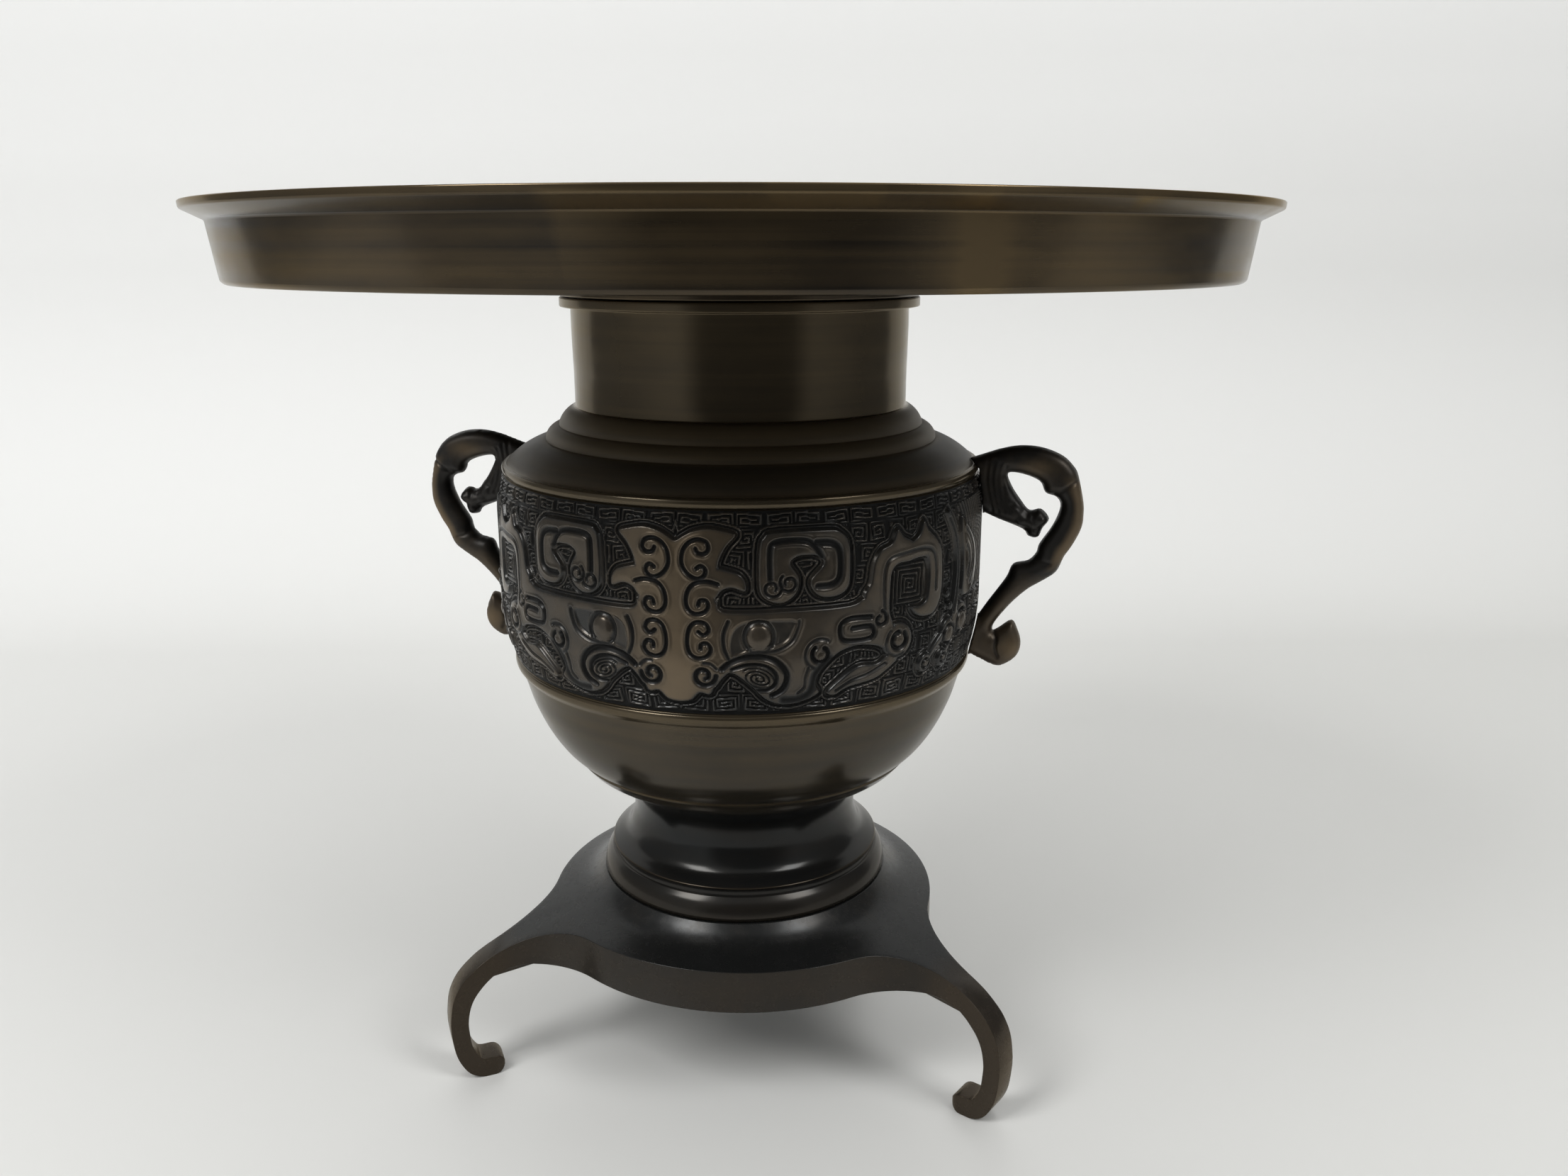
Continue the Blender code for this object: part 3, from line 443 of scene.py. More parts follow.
def carved_lines():
    # Each carved line as (points, width, depth), in the order of the photograph from the nose outward.
    lines = []

    def add(points, width=1.0, depth=0.65, steps=5):
        lines.append((curve_through(points, steps), width, depth))

    def curl(width, depth, *shape):
        lines.append((spiral(*shape), width, depth))

    # Four rows of scrolls down the nose panel.
    add([(5.4, 46.0), (6.0, 44.9), (7.6, 44.7), (8.7, 45.9), (8.2, 47.7), (6.0, 48.4), (3.8, 47.6),
         (2.3, 45.8), (1.7, 43.4), (2.0, 41.2), (3.4, 39.2), (5.6, 38.1), (7.4, 38.8), (7.9, 40.4),
         (6.8, 41.5), (5.6, 40.8)])
    add([(11.0, 36.7), (8.6, 37.4), (6.0, 37.2), (4.2, 36.2), (3.0, 34.2), (2.7, 31.6), (3.5, 29.6),
         (5.2, 28.7), (7.4, 29.2), (8.5, 30.8), (7.9, 32.3), (6.4, 32.3), (5.9, 31.0)])
    add([(5.8, 23.9), (7.2, 23.0), (8.5, 24.4), (7.6, 26.2), (5.4, 26.5), (3.7, 25.2), (2.9, 22.6),
         (2.9, 19.8), (3.8, 17.6), (5.8, 16.7), (8.0, 17.4), (9.0, 19.2), (8.0, 20.8), (6.5, 20.5),
         (6.3, 19.3)])
    curl(1.25, 0.7, (7.0, 11.8), 0.9, 3.2, -60, 360)
    add([(7.0, 15.4), (8.8, 15.2), (10.4, 13.8)], 0.9, 0.4)

    # Square scroll: the inner line and the two curls in its lower left.
    add([(24.4, 37.8), (24.3, 44.8), (25.2, 47.2), (28.6, 47.9), (33.8, 47.6), (36.4, 45.8),
         (38.0, 43.2)], 1.4, 0.65)
    add([(36.6, 47.0), (40.8, 46.6), (42.8, 44.6), (43.2, 40.0), (42.6, 36.8), (40.4, 35.5),
         (37.0, 35.4)], 1.6, 0.7)
    curl(0.85, 0.55, (24.9, 35.4), 1.0, 2.7, -30, 400)
    curl(0.85, 0.55, (29.3, 36.6), 1.0, 2.6, 200, -230)

    # Eye: the dark rims of its leaf and the ring round the boss.
    add([(13.6, 26.8), (12.3, 23.4), (12.4, 19.6), (13.6, 16.6)], 1.0, 0.5)
    add([(16.0, 16.8), (19.8, 18.3), (25.6, 18.6), (29.8, 20.8), (31.6, 24.4), (32.0, 26.4)], 0.9, 0.4)
    curl(0.9, 0.35, EYE_CENTRE, EYE_R + 0.7, EYE_R + 0.7, 0, 360, 1.12)

    # Cheek: two thick arched lines round an oval spiral.
    add([(11.8, 13.8), (14.0, 15.6), (17.2, 16.9), (20.4, 17.3), (23.8, 16.8), (26.8, 15.0), (28.7, 12.2),
         (28.6, 9.6), (27.2, 7.2), (25.0, 6.0)], 1.5, 0.8)
    add([(14.4, 13.7), (18.0, 14.9), (21.4, 14.9), (24.2, 13.8), (25.9, 11.8), (25.7, 9.4), (23.8, 7.7),
         (21.2, 7.6)], 1.1, 0.65)
    curl(0.5, 0.5, (21.4, 10.9), 0.6, 4.9, 160, 1240, 0.6, -20, 90)

    # Tusk that rises from the jaw into a round curl.
    add([(40.2, 15.4), (37.9, 13.2), (36.4, 11.2), (35.8, 8.2), (34.8, 5.9), (32.0, 4.5),
         (28.0, 4.5)], 2.3, 0.5)
    add([(34.6, 13.6), (33.8, 10.6), (33.6, 8.0), (31.8, 6.2)], 0.8, 0.35)
    curl(0.9, 0.4, (37.8, 17.0), 4.3, 4.0, -70, -300)
    curl(1.1, 0.8, (37.9, 16.8), 1.9, 2.5, 60, -230)

    # Ear: an angular scroll, with a small curl beside it.
    add([(52.4, 25.5), (46.4, 25.8), (43.6, 24.6), (43.2, 22.4), (44.0, 20.2), (47.0, 19.5), (52.2, 19.6),
         (53.4, 21.4), (52.2, 23.0), (46.8, 23.0)], 1.2, 0.7, 3)
    curl(0.9, 0.6, (55.4, 24.4), 1.0, 2.3, 120, 440)

    # Ring at the foot of the side figure and the ridges of the leaf below it.
    curl(1.3, 0.8, (61.8, 17.5), 2.1, 2.6, 90, 400)
    curl(0.7, 0.3, (61.6, 17.3), 4.2, 4.2, 130, 300)
    add([(42.6, 5.8), (47.0, 8.2), (52.0, 9.4), (57.6, 11.6)], 0.8, 0.4)

    # Side figure: lines inside its edges.
    add([(57.0, 24.4), (56.4, 31.0), (56.6, 37.6), (58.6, 40.6), (64.0, 41.4), (70.0, 41.8), (74.4, 40.4),
         (75.9, 36.0), (75.9, 29.6)], 0.9, 0.3)

    # Wing: its middle line and two curls, and the small curls below it.
    add([(83.2, 48.0), (86.4, 42.6), (88.2, 35.0), (87.7, 27.0), (86.0, 20.6)], 0.8, 0.4)
    add([(92.8, 43.6), (96.6, 40.0), (99.0, 35.8), (99.0, 31.4), (96.6, 27.6)], 0.9, 0.5)
    add([(93.4, 38.6), (95.2, 36.4), (95.8, 33.2), (94.6, 29.6)], 0.8, 0.45)
    curl(0.9, 0.7, (83.9, 14.6), 2.7, 3.0, 20, 380)
    curl(1.1, 0.8, (91.4, 17.0), 3.1, 3.6, 60, 330)
    curl(0.8, 0.6, (73.6, 8.2), 1.2, 1.7, 60, 380)
    curl(0.8, 0.6, (82.4, 7.8), 1.1, 1.5, 60, 380)
    return lines


def key_fret(x, y, half_w, half_h, pitch):
    # Square spiral in a cell, from -1 in its grooves to 1 on its lines.
    reach = np.maximum(np.abs(x) - max(half_w - half_h, 0.0), np.abs(y) - max(half_h - half_w, 0.0))
    turn = np.arctan2(y, x) / math.tau
    return np.cos(math.tau * (reach / pitch - turn))


def fret_rows(u, v):
    # The ground of small frets: a row of wide cells at the top and bottom and square ones between.
    out = np.full(u.shape, -1.0)
    rows = [(51.2, 55.1, 7.73), (0.5, 6.3, 8.28)]
    middle = np.linspace(6.4, 51.1, 9)
    rows += [(a + 0.1, b - 0.1, 6.1) for a, b in zip(middle[:-1], middle[1:])]
    for number, (low, high, wide) in enumerate(rows):
        shift = 0.0 if number < 2 else (number % 2) * wide / 2
        cell = np.floor((u + shift) / wide)
        x = u + shift - (cell + 0.5) * wide
        y = v - 0.5 * (low + high)
        half_w = wide / 2 - 0.4
        half_h = (high - low) / 2 - 0.2
        fret = key_fret(np.where(cell % 2 == 0, x, -x), y, half_w, half_h, FRET_PITCH)
        edge = np.minimum(half_w - np.abs(x), half_h - np.abs(y))
        fret = np.where(edge < 0, -1.0, fret)
        out = np.where((v >= low) & (v <= high), fret, out)
    return out


def ground_lines(u, v, beside):
    # Lines that follow the figures near them, frets farther off, a square fret inside the side
    # figure and ribs beside the wing, from -1 in the grooves to 1 on the lines.
    echo = np.cos(math.tau * (beside - 1.3) / ECHO_PITCH)
    ground = np.where(beside < 1.9, echo, fret_rows(u, v))
    x = u - CELL_MIDDLE[0]
    y = v - CELL_MIDDLE[1]
    in_cell = (np.maximum(np.abs(x), np.abs(y)) < CELL_HALF + 0.1) & (beside > 1.0)
    ground = np.where(in_cell, key_fret(x, y, CELL_HALF, CELL_HALF, 1.3), ground)
    ribs = np.cos(math.tau * (distance_to_line(u, v, curve_through(WING_LINE[:4], 5)) - 2.2) / 1.7)
    return np.where((u > 88.5) & (v > 24.0) & (v < 51.0) & (beside > 0.8), ribs, ground)


def frieze_height(u, v):
    # Height of the cast surface over the plain wall, how worn it is, with painted shade that darkens the
    # brown beside the carved lines, and how hollow; the material paints the hollows darker as shade.
    depth = joined_depth(u, v, figure_outlines())
    raised = soft_step(depth + 0.05, 0.8)

    # The ground, with a narrow moat round the figures and a plain border.
    ground = ground_lines(u, v, -depth)
    ground_height = GROUND_DEPTH * (soft_step(ground - 0.1, 1.0) - 1)
    moat = soft_step(0.8 + depth, 0.4)
    ground_height = ground_height * (1 - moat) - GROUND_DEPTH * moat
    ground_height = np.where(np.minimum(v, BAND_UP - v) < 0.5, -0.35, ground_height)

    # Raised parts: domed towards their edges, with carved lines that have a slight lip and painted shade
    # beside them, and bosses.
    top = RELIEF - 0.12 - 0.3 * np.exp(-np.maximum(depth, 0.0) / 0.9)
    socket = depth_inside(u, v, curve_through(SOCKET, 4, closed=True))
    top = top - 0.5 * soft_step(socket - 0.3, 1.0)
    cut = np.zeros(u.shape)
    lip = np.zeros(u.shape)
    painted_groove_shade = np.zeros(u.shape)
    for points, width, deep in carved_lines():
        lo = points.min(0) - 2.0
        hi = points.max(0) + 2.0
        near = (u > lo[0]) & (u < hi[0]) & (v > lo[1]) & (v < hi[1])
        d = distance_to_line(u[near], v[near], points)
        cut[near] = np.maximum(cut[near], deep * (1 - soft_step(d - 0.42 * width, 0.75 * width)))
        lip[near] = np.maximum(lip[near], 0.12 * bell(d, 0.95 * width, 0.4))
        # Painted shade beside each carved line, strongest at its edge and fading within about a millimetre.
        painted_groove_shade[near] = np.maximum(painted_groove_shade[near], np.exp(-np.maximum(d - 0.5 * width, 0.0) / 0.8))
    top = top - cut + lip * (1 - np.clip(cut / 0.3, 0, 1)) * soft_step(depth - 1.2, 0.8)
    for middle, radius, high, stretch in BOSSES:
        share = dome(u, v, middle, radius, stretch)
        top = np.where(share > 0, np.maximum(top, RELIEF - 0.62 + high * np.sqrt(share)), top)
        raised = np.maximum(raised, soft_step(share - 0.15, 0.3))
    height = ground_height * (1 - raised) + top * raised
    handled = 0.26 + 0.58 * bell(u, 0.0, 13.5) + 0.10 * bell(u, 67.0, 9.0)
    wear = raised * np.clip(1.0 - cut / 0.4, 0.0, 1.0) * np.clip((top - 0.2) / 0.4, 0, 1) * handled
    # Painted shade: less worn brown, so darker, beside the carved lines.
    wear = wear * (1.0 - 0.45 * painted_groove_shade) * soft_step(depth - 0.6, 1.2)
    wear = wear + 0.12 * (1 - raised) * soft_step(ground - 0.2, 0.8)
    # Hollow: the grooves of the ground and the carved lines, which the material paints darker as shade.
    hollow = (1 - raised) * (1 - soft_step(ground - 0.1, 1.0)) + raised * np.clip(cut / 0.5, 0, 1)
    return height, wear, np.clip(hollow, 0, 1)


def frieze_radius(v):
    share = v / BAND_UP
    foot = FRIEZE_FOOT_IN * np.clip(1 - share / 0.34, 0, 1) ** 2
    top = FRIEZE_TOP_IN * np.clip((share - 0.78) / 0.22, 0, 1) ** 2
    return FRIEZE_R - foot - top


def build_frieze(mat):
    # Four quarters of fine relief; one column beyond each end gives matching normals at the joins.
    u = np.arange(-1, FRIEZE_COLUMNS + 2) * (BAND_ACROSS / FRIEZE_COLUMNS)
    vv, uu = np.meshgrid(np.linspace(0, BAND_UP, FRIEZE_ROWS + 1), u, indexing="ij")
    mirror_u = np.where(uu < 0, -uu, np.where(uu > BAND_ACROSS, 2 * BAND_ACROSS - uu, uu))
    height, wear, hollow = frieze_height(mirror_u, vv)
    radius = frieze_radius(vv) + height
    z = BODY_LOW_Z + FRIEZE_FOOT_H + vv
    layers = {"wear": wear[:, 1:-1].ravel(), "hollow": hollow[:, 1:-1].ravel()}
    index = np.arange((FRIEZE_ROWS + 1) * (FRIEZE_COLUMNS + 1)).reshape(-1, FRIEZE_COLUMNS + 1)
    faces = {1: quads(index), -1: [(b, a, d, c) for a, b, c, d in quads(index)]}
    quarters = (("front_right", 3, 1), ("front_left", 3, -1), ("back_left", 1, 1), ("back_right", 1, -1))
    for place, start, sign in quarters:
        angle = (start + sign * uu / BAND_ACROSS) * math.pi / 2
        grid = np.stack([radius * np.cos(angle), radius * np.sin(angle), z], -1)
        normal = np.cross(np.gradient(grid, axis=1) * sign, np.gradient(grid, axis=0))
        normal /= np.linalg.norm(normal, axis=-1, keepdims=True)
        grid = grid[:, 1:-1].reshape(-1, 3)
        normal = normal[:, 1:-1].reshape(-1, 3)
        add_mesh("frieze_" + place, grid, faces[sign], "vase_body", mat, layers, normal)


def build_body(mat):
    base = BODY_LOW_Z
    top = FRIEZE_FOOT_H + BAND_UP
    rim = BODY_TOP_Z - base
    outer = [
        *curve_through([(BELLY_FOOT_R, 0.0), (46.4, 0.9), (50.4, 3.2), (52.6, 5.4),
                        (EDGE_LINE_R + 0.1, EDGE_LINE_H - 0.5)], 4),
        *curve_through([(EDGE_LINE_R, EDGE_LINE_H), (58.4, 11.8), (62.9, 18.6), (66.4, 26.4), (68.4, 33.0),
                        (69.5, 36.4)], 8),
        *curve_through([(69.9, 36.9), (71.0, 38.3), (71.3, 39.6), (71.1, 40.4), (70.6, 40.7),
                        (70.5, 40.9)], 3),
        (frieze_radius(0.0) - 0.3, FRIEZE_FOOT_H),
    ]
    bead_end = (BEAD_R - 1.5, top + 3.05)
    upper = [
        (frieze_radius(BAND_UP) - 0.3, top), (BEAD_R - 0.9, top + 0.2),
        *curve_through([(BEAD_R - 0.5, top + 0.5), (BEAD_R, top + 1.6), (BEAD_R - 0.3, top + 2.7),
                        (BEAD_R - 1.1, top + 3.1)], 4), bead_end,
        *swell(bead_end, (STEP_ONE_R + 0.3, STEP_ONE_H - 0.25), 1.0, 18),
        (STEP_ONE_R - 0.15, STEP_ONE_H - 0.25),
        *swell((STEP_ONE_R - 0.1, STEP_ONE_H), (STEP_TWO_R + 0.2, STEP_TWO_H - 0.2), 0.9, 10),
        (STEP_TWO_R - 0.15, STEP_TWO_H - 0.2),
        *swell((STEP_TWO_R - 0.1, STEP_TWO_H), (NECK_R, NECK_FOOT_H), 0.9, 10),
        (NECK_R - 0.15, NECK_FOOT_H + 0.3), (NECK_R - 0.1, NECK_FOOT_H + 10),
        *rounded([(NECK_R + 0.2, FLANGE_H - 6), (NECK_R + 0.2, FLANGE_H), (FLANGE_R, FLANGE_H),
                  (FLANGE_R, rim), (BORE_R, rim), (BORE_R, NECK_FOOT_H)], 0.5),
        *curve_through([(STEP_ONE_R - WALL, STEP_ONE_H - WALL), (BEAD_R - WALL - 3.0, top - 0.5),
                        (FRIEZE_R - WALL, top - 8), (FRIEZE_R - WALL, FRIEZE_FOOT_H + 16),
                        (71.2 - WALL, FRIEZE_FOOT_H), (66.4 - WALL, 27.0), (58.4 - WALL, 13.5),
                        (EDGE_LINE_R - WALL - 1.6, EDGE_LINE_H + 1.6), (40.0, FLOOR_H), (20.0, FLOOR_H)], 4),
    ]
    low_verts, low_faces = lathe(np.array(outer) + [0.0, base], BODY_COLUMNS, cap=0)
    up_verts, up_faces = lathe(np.array(upper) + [0.0, base], BODY_COLUMNS, cap=-1)
    verts = np.vstack([low_verts, up_verts])
    faces = low_faces + [tuple(i + len(low_verts) for i in face) for face in up_faces]

    # Worn brown on the belly, the beads, the rims of the steps and the neck; dark on the shoulder.
    height = verts[:, 2] - base
    wear = read_off(height, [
        (0.0, 0.12), (EDGE_LINE_H - 0.6, 0.25), (EDGE_LINE_H, 0.8), (EDGE_LINE_H + 1.0, 0.26), (20.0, 0.27),
        (35.0, 0.38), (38.5, 0.85), (40.4, 0.6), (top + 0.4, 0.5), (top + 1.8, 0.72), (top + 3.2, 0.5),
        (top + 5.0, 0.24), (STEP_ONE_H - 0.8, 0.26), (STEP_ONE_H - 0.2, 0.95), (STEP_ONE_H + 0.5, 0.8),
        (STEP_TWO_H - 0.6, 0.8), (STEP_TWO_H - 0.1, 1.0), (STEP_TWO_H + 0.5, 0.8), (NECK_FOOT_H - 0.8, 0.8),
        (NECK_FOOT_H + 0.4, 0.6), (FLANGE_H, 0.8),
    ])
    dull = [(top + 2.6, 0.0), (top + 4.0, 1.0), (NECK_FOOT_H - 0.8, 1.0), (NECK_FOOT_H, 0.0)]
    layers = {"wear": wear, "dull": read_off(height, dull)}
    add_mesh("body_shell", verts, faces, "vase_body", mat, layers, crease=32)


# Rubbed patches of the dish as (turn to the right of the front in degrees, half width, amount),
# and the turns of the specks on its rim.
DISH_PATCHES = [(32.7, 2.6, 0.75), (46.0, 9.0, 0.25), (22.0, 6.0, -0.2), (-25.0, 14.0, 0.12)]
RIM_SPECKS = [(turn, 0.9, 0.8) for turn in (17.0, 18.5, 20.5, 22.5, 31.0, 47.0, 211.5, 300.0)]


def build_dish(mat):
    seat = DISH_SEAT_Z
    top = DISH_TOP_Z
    under = seat + DISH_UNDER_H
    floor_z = under + DISH_FLOOR_THICK
    spigot_r = BORE_R - SPIGOT_GAP
    throat_r = spigot_r - SPIGOT_WALL
    wall_r = DISH_WALL_TOP_R
    profile = [
        (wall_r - DISH_WALL + 0.6, top), (DISH_R, top), (DISH_R - 0.2, top - 1.8), (wall_r, top - LIP_DROP),
        (DISH_FOOT_R + 1.0, under + 0.9), (DISH_FOOT_R, under), (FLANGE_R, under), (FLANGE_R, seat),
        (spigot_r, seat), (spigot_r, DISH_LOW_Z), (throat_r, DISH_LOW_Z), (throat_r, floor_z),
        (DISH_FLOOR_R, floor_z), (DISH_FLOOR_R + 2.0, floor_z + 2.0), (wall_r - DISH_WALL, top - 0.4),
    ]
    curve = rounded(profile[-1:] + profile + profile[:1], 0.45, 3)[1:-1]
    verts, faces = lathe(curve, DISH_COLUMNS, closed=True)

    # The rim's edge is rubbed bright, the wall is brown and the inside is darker.
    reach = curve[:, 0:1]
    turn = (np.degrees(np.linspace(0, math.tau, DISH_COLUMNS, endpoint=False)) + 90.0) % 360.0

    def spots(table):
        return sum(amount * bell((turn - at + 180.0) % 360.0, 180.0, wide) for at, wide, amount in table)

    worn = [(141, 0.3), (142.5, 0.5), (144.1, 0.45), (144.5, 0.2), (DISH_R - 0.9, 0.3), (DISH_R, 0.9)]
    wall = (reach > 140.0) & (reach < 144.3)
    wear = read_off(reach, worn) + wall * spots(DISH_PATCHES) + (reach > DISH_R - 0.7) * spots(RIM_SPECKS)
    lip_face = (reach > 144.1) & (curve[:, 1:] < top - 0.9)
    wear = wear + lip_face * (0.45 * bell(turn, 13.0, 28.0) - 0.1)
    add_mesh("dish", verts, faces, "top_dish", mat, {"wear": wear.ravel()}, crease=40)


def build_pedestal(mat):
    base = PEDESTAL_LOW_Z
    top = PEDESTAL_TOP_Z - base
    roll = PEDESTAL_ROLL_R
    ridge = roll - RIDGE_IN
    waist = roll - WAIST_IN
    curve = np.vstack([
        curve_through([(roll - 0.35, 0.0), (roll - 0.02, 0.7), (roll, 1.6), (roll - 0.45, 3.7),
                       (roll - 1.3, 5.5), (ridge + 0.25, 7.1)], 5),
        [(ridge - 0.3, 7.25), (ridge - 0.4, 7.6), (ridge - 0.3, 9.0)],
        curve_through([(ridge - 0.15, 9.3), (ridge, 9.6), (ridge - 0.3, 9.9), (ridge - 1.3, 10.5),
                       (waist + 2.8, 12.6), (waist + 1.0, 16.0), (waist, 20.4), (waist + 0.5, 25.4),
                       (waist + 2.4, top - 4.4), (BELLY_FOOT_R - 0.2, top)], 6),
        curve_through([(PEDESTAL_MOUTH_R, top), (waist - 2.7, 22.0), (waist - 2.1, 15.0), (ridge - 3.9, 8.0),
                       (roll - 3.1, 0.0)], 3),
    ])
    verts, faces = lathe(curve + [0.0, base], PEDESTAL_COLUMNS, closed=True)
    worn = [(0.0, 0.7), (1.0, 0.5), (6.0, 0.25), (9.2, 0.2), (9.6, 1.0), (10.0, 0.15), (top, 0.1)]
    layers = {"wear": np.repeat(read_off(curve[:, 1], worn), PEDESTAL_COLUMNS)}
    add_mesh("pedestal_bell", verts, faces, "pedestal", mat, layers, crease=40)


# Tripod stand.

def stand_top(rho):
    if rho <= SEAT_R:
        return SEAT_Z
    if rho <= COLLAR_R:
        share = (rho - SEAT_R) / (COLLAR_R - SEAT_R)
        return SEAT_Z - COLLAR_DROP * (0.38 * share + 0.62 * (1.0 - (1.0 - share) ** 3))
    share = (rho - COLLAR_R) / (LEG_ROOT_R - COLLAR_R)
    fall = SEAT_Z - COLLAR_DROP - LEG_ROOT_TOP
    return SEAT_Z - COLLAR_DROP - fall * (0.62 * share + 0.38 * share * share)


def stand_under(rho):
    start = LEG_ROOT_R - 12.0
    return PLATE_UNDER_Z - 2.9 * max((rho - start) / (LEG_ROOT_R - start), 0.0) ** 2.4


def lobe_outline(fillet_steps, lobe_steps):
    # Plan outline from one leg to the next: strap side, fillet, lobe arc and back.
    half_turn = math.pi / LEG_COUNT
    back = LOBE_ARC_R - LOBE_REACH
    lobe_mid = (-back * math.cos(half_turn), -back * math.sin(half_turn))
    side = LEG_HALF_WIDTH - lobe_mid[1]
    run = LEG_ROOT_R - lobe_mid[0]
    fillet_r = (run * run + side * side - LOBE_ARC_R ** 2) / (2.0 * (LOBE_ARC_R - side))
    fillet_mid = (LEG_ROOT_R, LEG_HALF_WIDTH + fillet_r)
    touch = math.atan2(lobe_mid[1] - fillet_mid[1], lobe_mid[0] - fillet_mid[0])

    def arc(middle, radius, start, end, steps):
        turn = start + (end - start) * np.linspace(0, 1, steps + 1)
        return middle + radius * np.stack([np.cos(turn), np.sin(turn)], 1)

    fillet = arc(fillet_mid, fillet_r, -math.pi / 2, touch, fillet_steps)
    x, y = fillet[-1] - lobe_mid
    lobe = arc(lobe_mid, LOBE_ARC_R, math.atan2(y, x), half_turn, lobe_steps)
    half = [(math.atan2(y, x), math.hypot(x, y)) for x, y in [*fillet, *lobe[1:]]]
    return half + [(2 * half_turn - a, r) for a, r in reversed(half[:-1])]


def leg_sides():
    # Outer and inner side of a leg as two smooth runs of (radius, height) with equal counts.
    out_r = LEG_OUT_R
    bend = FOOT_BEND_H
    span = out_r - FOOT_MID_R - 2.0
    root = stand_top(LEG_ROOT_R)
    outer = [
        (LEG_ROOT_R, root), (LEG_ROOT_R + 4.5, root - 2.8), (out_r - 5.1, root - 6.8),
        (out_r - 2.6, root - 10.3), (out_r - 0.9, root - 14.6), (out_r - 0.1, bend + 3.6), (out_r, bend),
    ]
    inner = [
        (LEG_ROOT_R, stand_under(LEG_ROOT_R)), (LEG_ROOT_R + 2.7, 32.7), (out_r - 8.5, 29.4),
        (out_r - 6.9, 26.6), (out_r - LEG_THICK - 0.3, 23.4), (out_r - LEG_THICK + 0.2, 19.6),
        (out_r - LEG_THICK, 16.0),
    ]
    for degrees, dx, z in ((25, 6.0, 12.4), (45, 6.8, 9.8), (65, 7.8, 8.0)):
        a = math.radians(degrees)
        outer.append((out_r - span + span * math.cos(a), bend - bend * math.sin(a)))
        inner.append((out_r - dx, z))
    outer += [(out_r - span, 0.0), (TOE_R, 0.0)]
    inner += [(FOOT_MID_R + 2.4, TOE_H + 0.2), (TOE_R, TOE_H)]
    outer = np.minimum(curve_through(outer, 4), [out_r, 1e9])
    outer[:, 1] = np.maximum(outer[:, 1], 0.0)
    inner = curve_through(inner, 4)
    # The toe ends in a half round, which also narrows a little across.
    half = TOE_H / 2
    turn = np.radians([15, 30, 45, 60, 72, 82])
    reach = TOE_R - half * np.sin(turn)
    toe_out = np.stack([reach, half - half * np.cos(turn)], 1)
    toe_in = np.stack([reach, half + half * np.cos(turn)], 1)
    widths = np.concatenate([np.full(len(outer), LEG_HALF_WIDTH), LEG_HALF_WIDTH - 1.6 * (1 - np.cos(turn))])
    return np.vstack([outer, toe_out]), np.vstack([inner, toe_in]), widths


def build_stand(mat):
    verts = [(0.0, 0.0, SEAT_Z)]
    faces = []
    turn = math.radians(STAND_TURN)
    one = lobe_outline(fillet_steps=14, lobe_steps=18)
    outline = [(a + turn + math.tau * leg / LEG_COUNT, r) for leg in range(LEG_COUNT) for a, r in one]
    count = len(outline)
    per_leg = len(one)
    edge = np.array([r for a, r in outline])

    def loop(reach, z_of):
        # A loop of points at one distance from the axis, or at one for each.
        first = len(verts)
        for (a, r), rho in zip(outline, reach + 0.0 * edge):
            verts.append((rho * math.cos(a), rho * math.sin(a), z_of(rho)))
        return list(range(first, first + count))

    def join(low, high):
        faces.extend(quads(np.array([[*low, low[0]], [*high, high[0]]])))

    # The plate's top, out from its middle over the collar to the edge.
    edge_top = loop(20.0, stand_top)
    faces += [(0, edge_top[i], edge_top[(i + 1) % count]) for i in range(count)]
    rings = [SEAT_R + (COLLAR_R - SEAT_R) * s for s in np.linspace(0, 1, 9)]
    rings += [COLLAR_R + (edge - COLLAR_R) * s for s in np.linspace(0, 1, 7)[1:]]
    for reach in rings:
        last = edge_top
        edge_top = loop(reach, stand_top)
        join(last, edge_top)
    edge_low = loop(edge, stand_under)

    # The recess under it.
    roof_z = SEAT_Z - RECESS_ROOF
    lip = loop(RECESS_R, lambda rho: PLATE_UNDER_Z)
    roof = loop(RECESS_TOP_R, lambda rho: roof_z)
    join(edge_low, lip)
    join(lip, roof)
    middle = len(verts)
    verts.append((0.0, 0.0, roof_z))
    for i in range(count):
        j = (i + 1) % count
        faces.append((middle, roof[j], roof[i]))
        if i % per_leg != per_leg - 1:
            faces.append((edge_top[i], edge_low[i], edge_low[j], edge_top[j]))

    # The legs, each from the gap that the plate's edge leaves for it.
    for leg in range(LEG_COUNT):
        right = leg * per_leg
        left = (right - 1) % count
        a = turn + math.tau * leg / LEG_COUNT
        section = [edge_top[left], edge_top[right], edge_low[right], edge_low[left]]
        for outer, inner, width in zip(*(side[1:] for side in leg_sides())):
            first = len(verts)
            for (rho, z), w in ((outer, -width), (outer, width), (inner, width), (inner, -width)):
                verts.append((rho * math.cos(a) - w * math.sin(a), rho * math.sin(a) + w * math.cos(a), z))
            new = [first, first + 1, first + 2, first + 3]
            join(section, new)
            section = new
        faces.append(tuple(section))
    points = np.array(verts)
    wear = read_off(np.hypot(points[:, 0], points[:, 1]), [(72.0, -0.1), (88.0, 0.55)])
    wear = wear + 0.35 * np.clip((15.0 - points[:, 2]) / 8.0, 0.0, 1.0)
    obj = add_mesh("stand", verts, faces, "tripod_stand", mat, {"wear": wear})
    with_bmesh(obj.data, face_outward)
    bevel = obj.modifiers.new("worn edges", "BEVEL")
    bevel.width = STAND_BEVEL * MM
    bevel.segments = 3
    bevel.limit_method = "ANGLE"
    bevel.angle_limit = math.radians(38)
    bevel.harden_normals = False


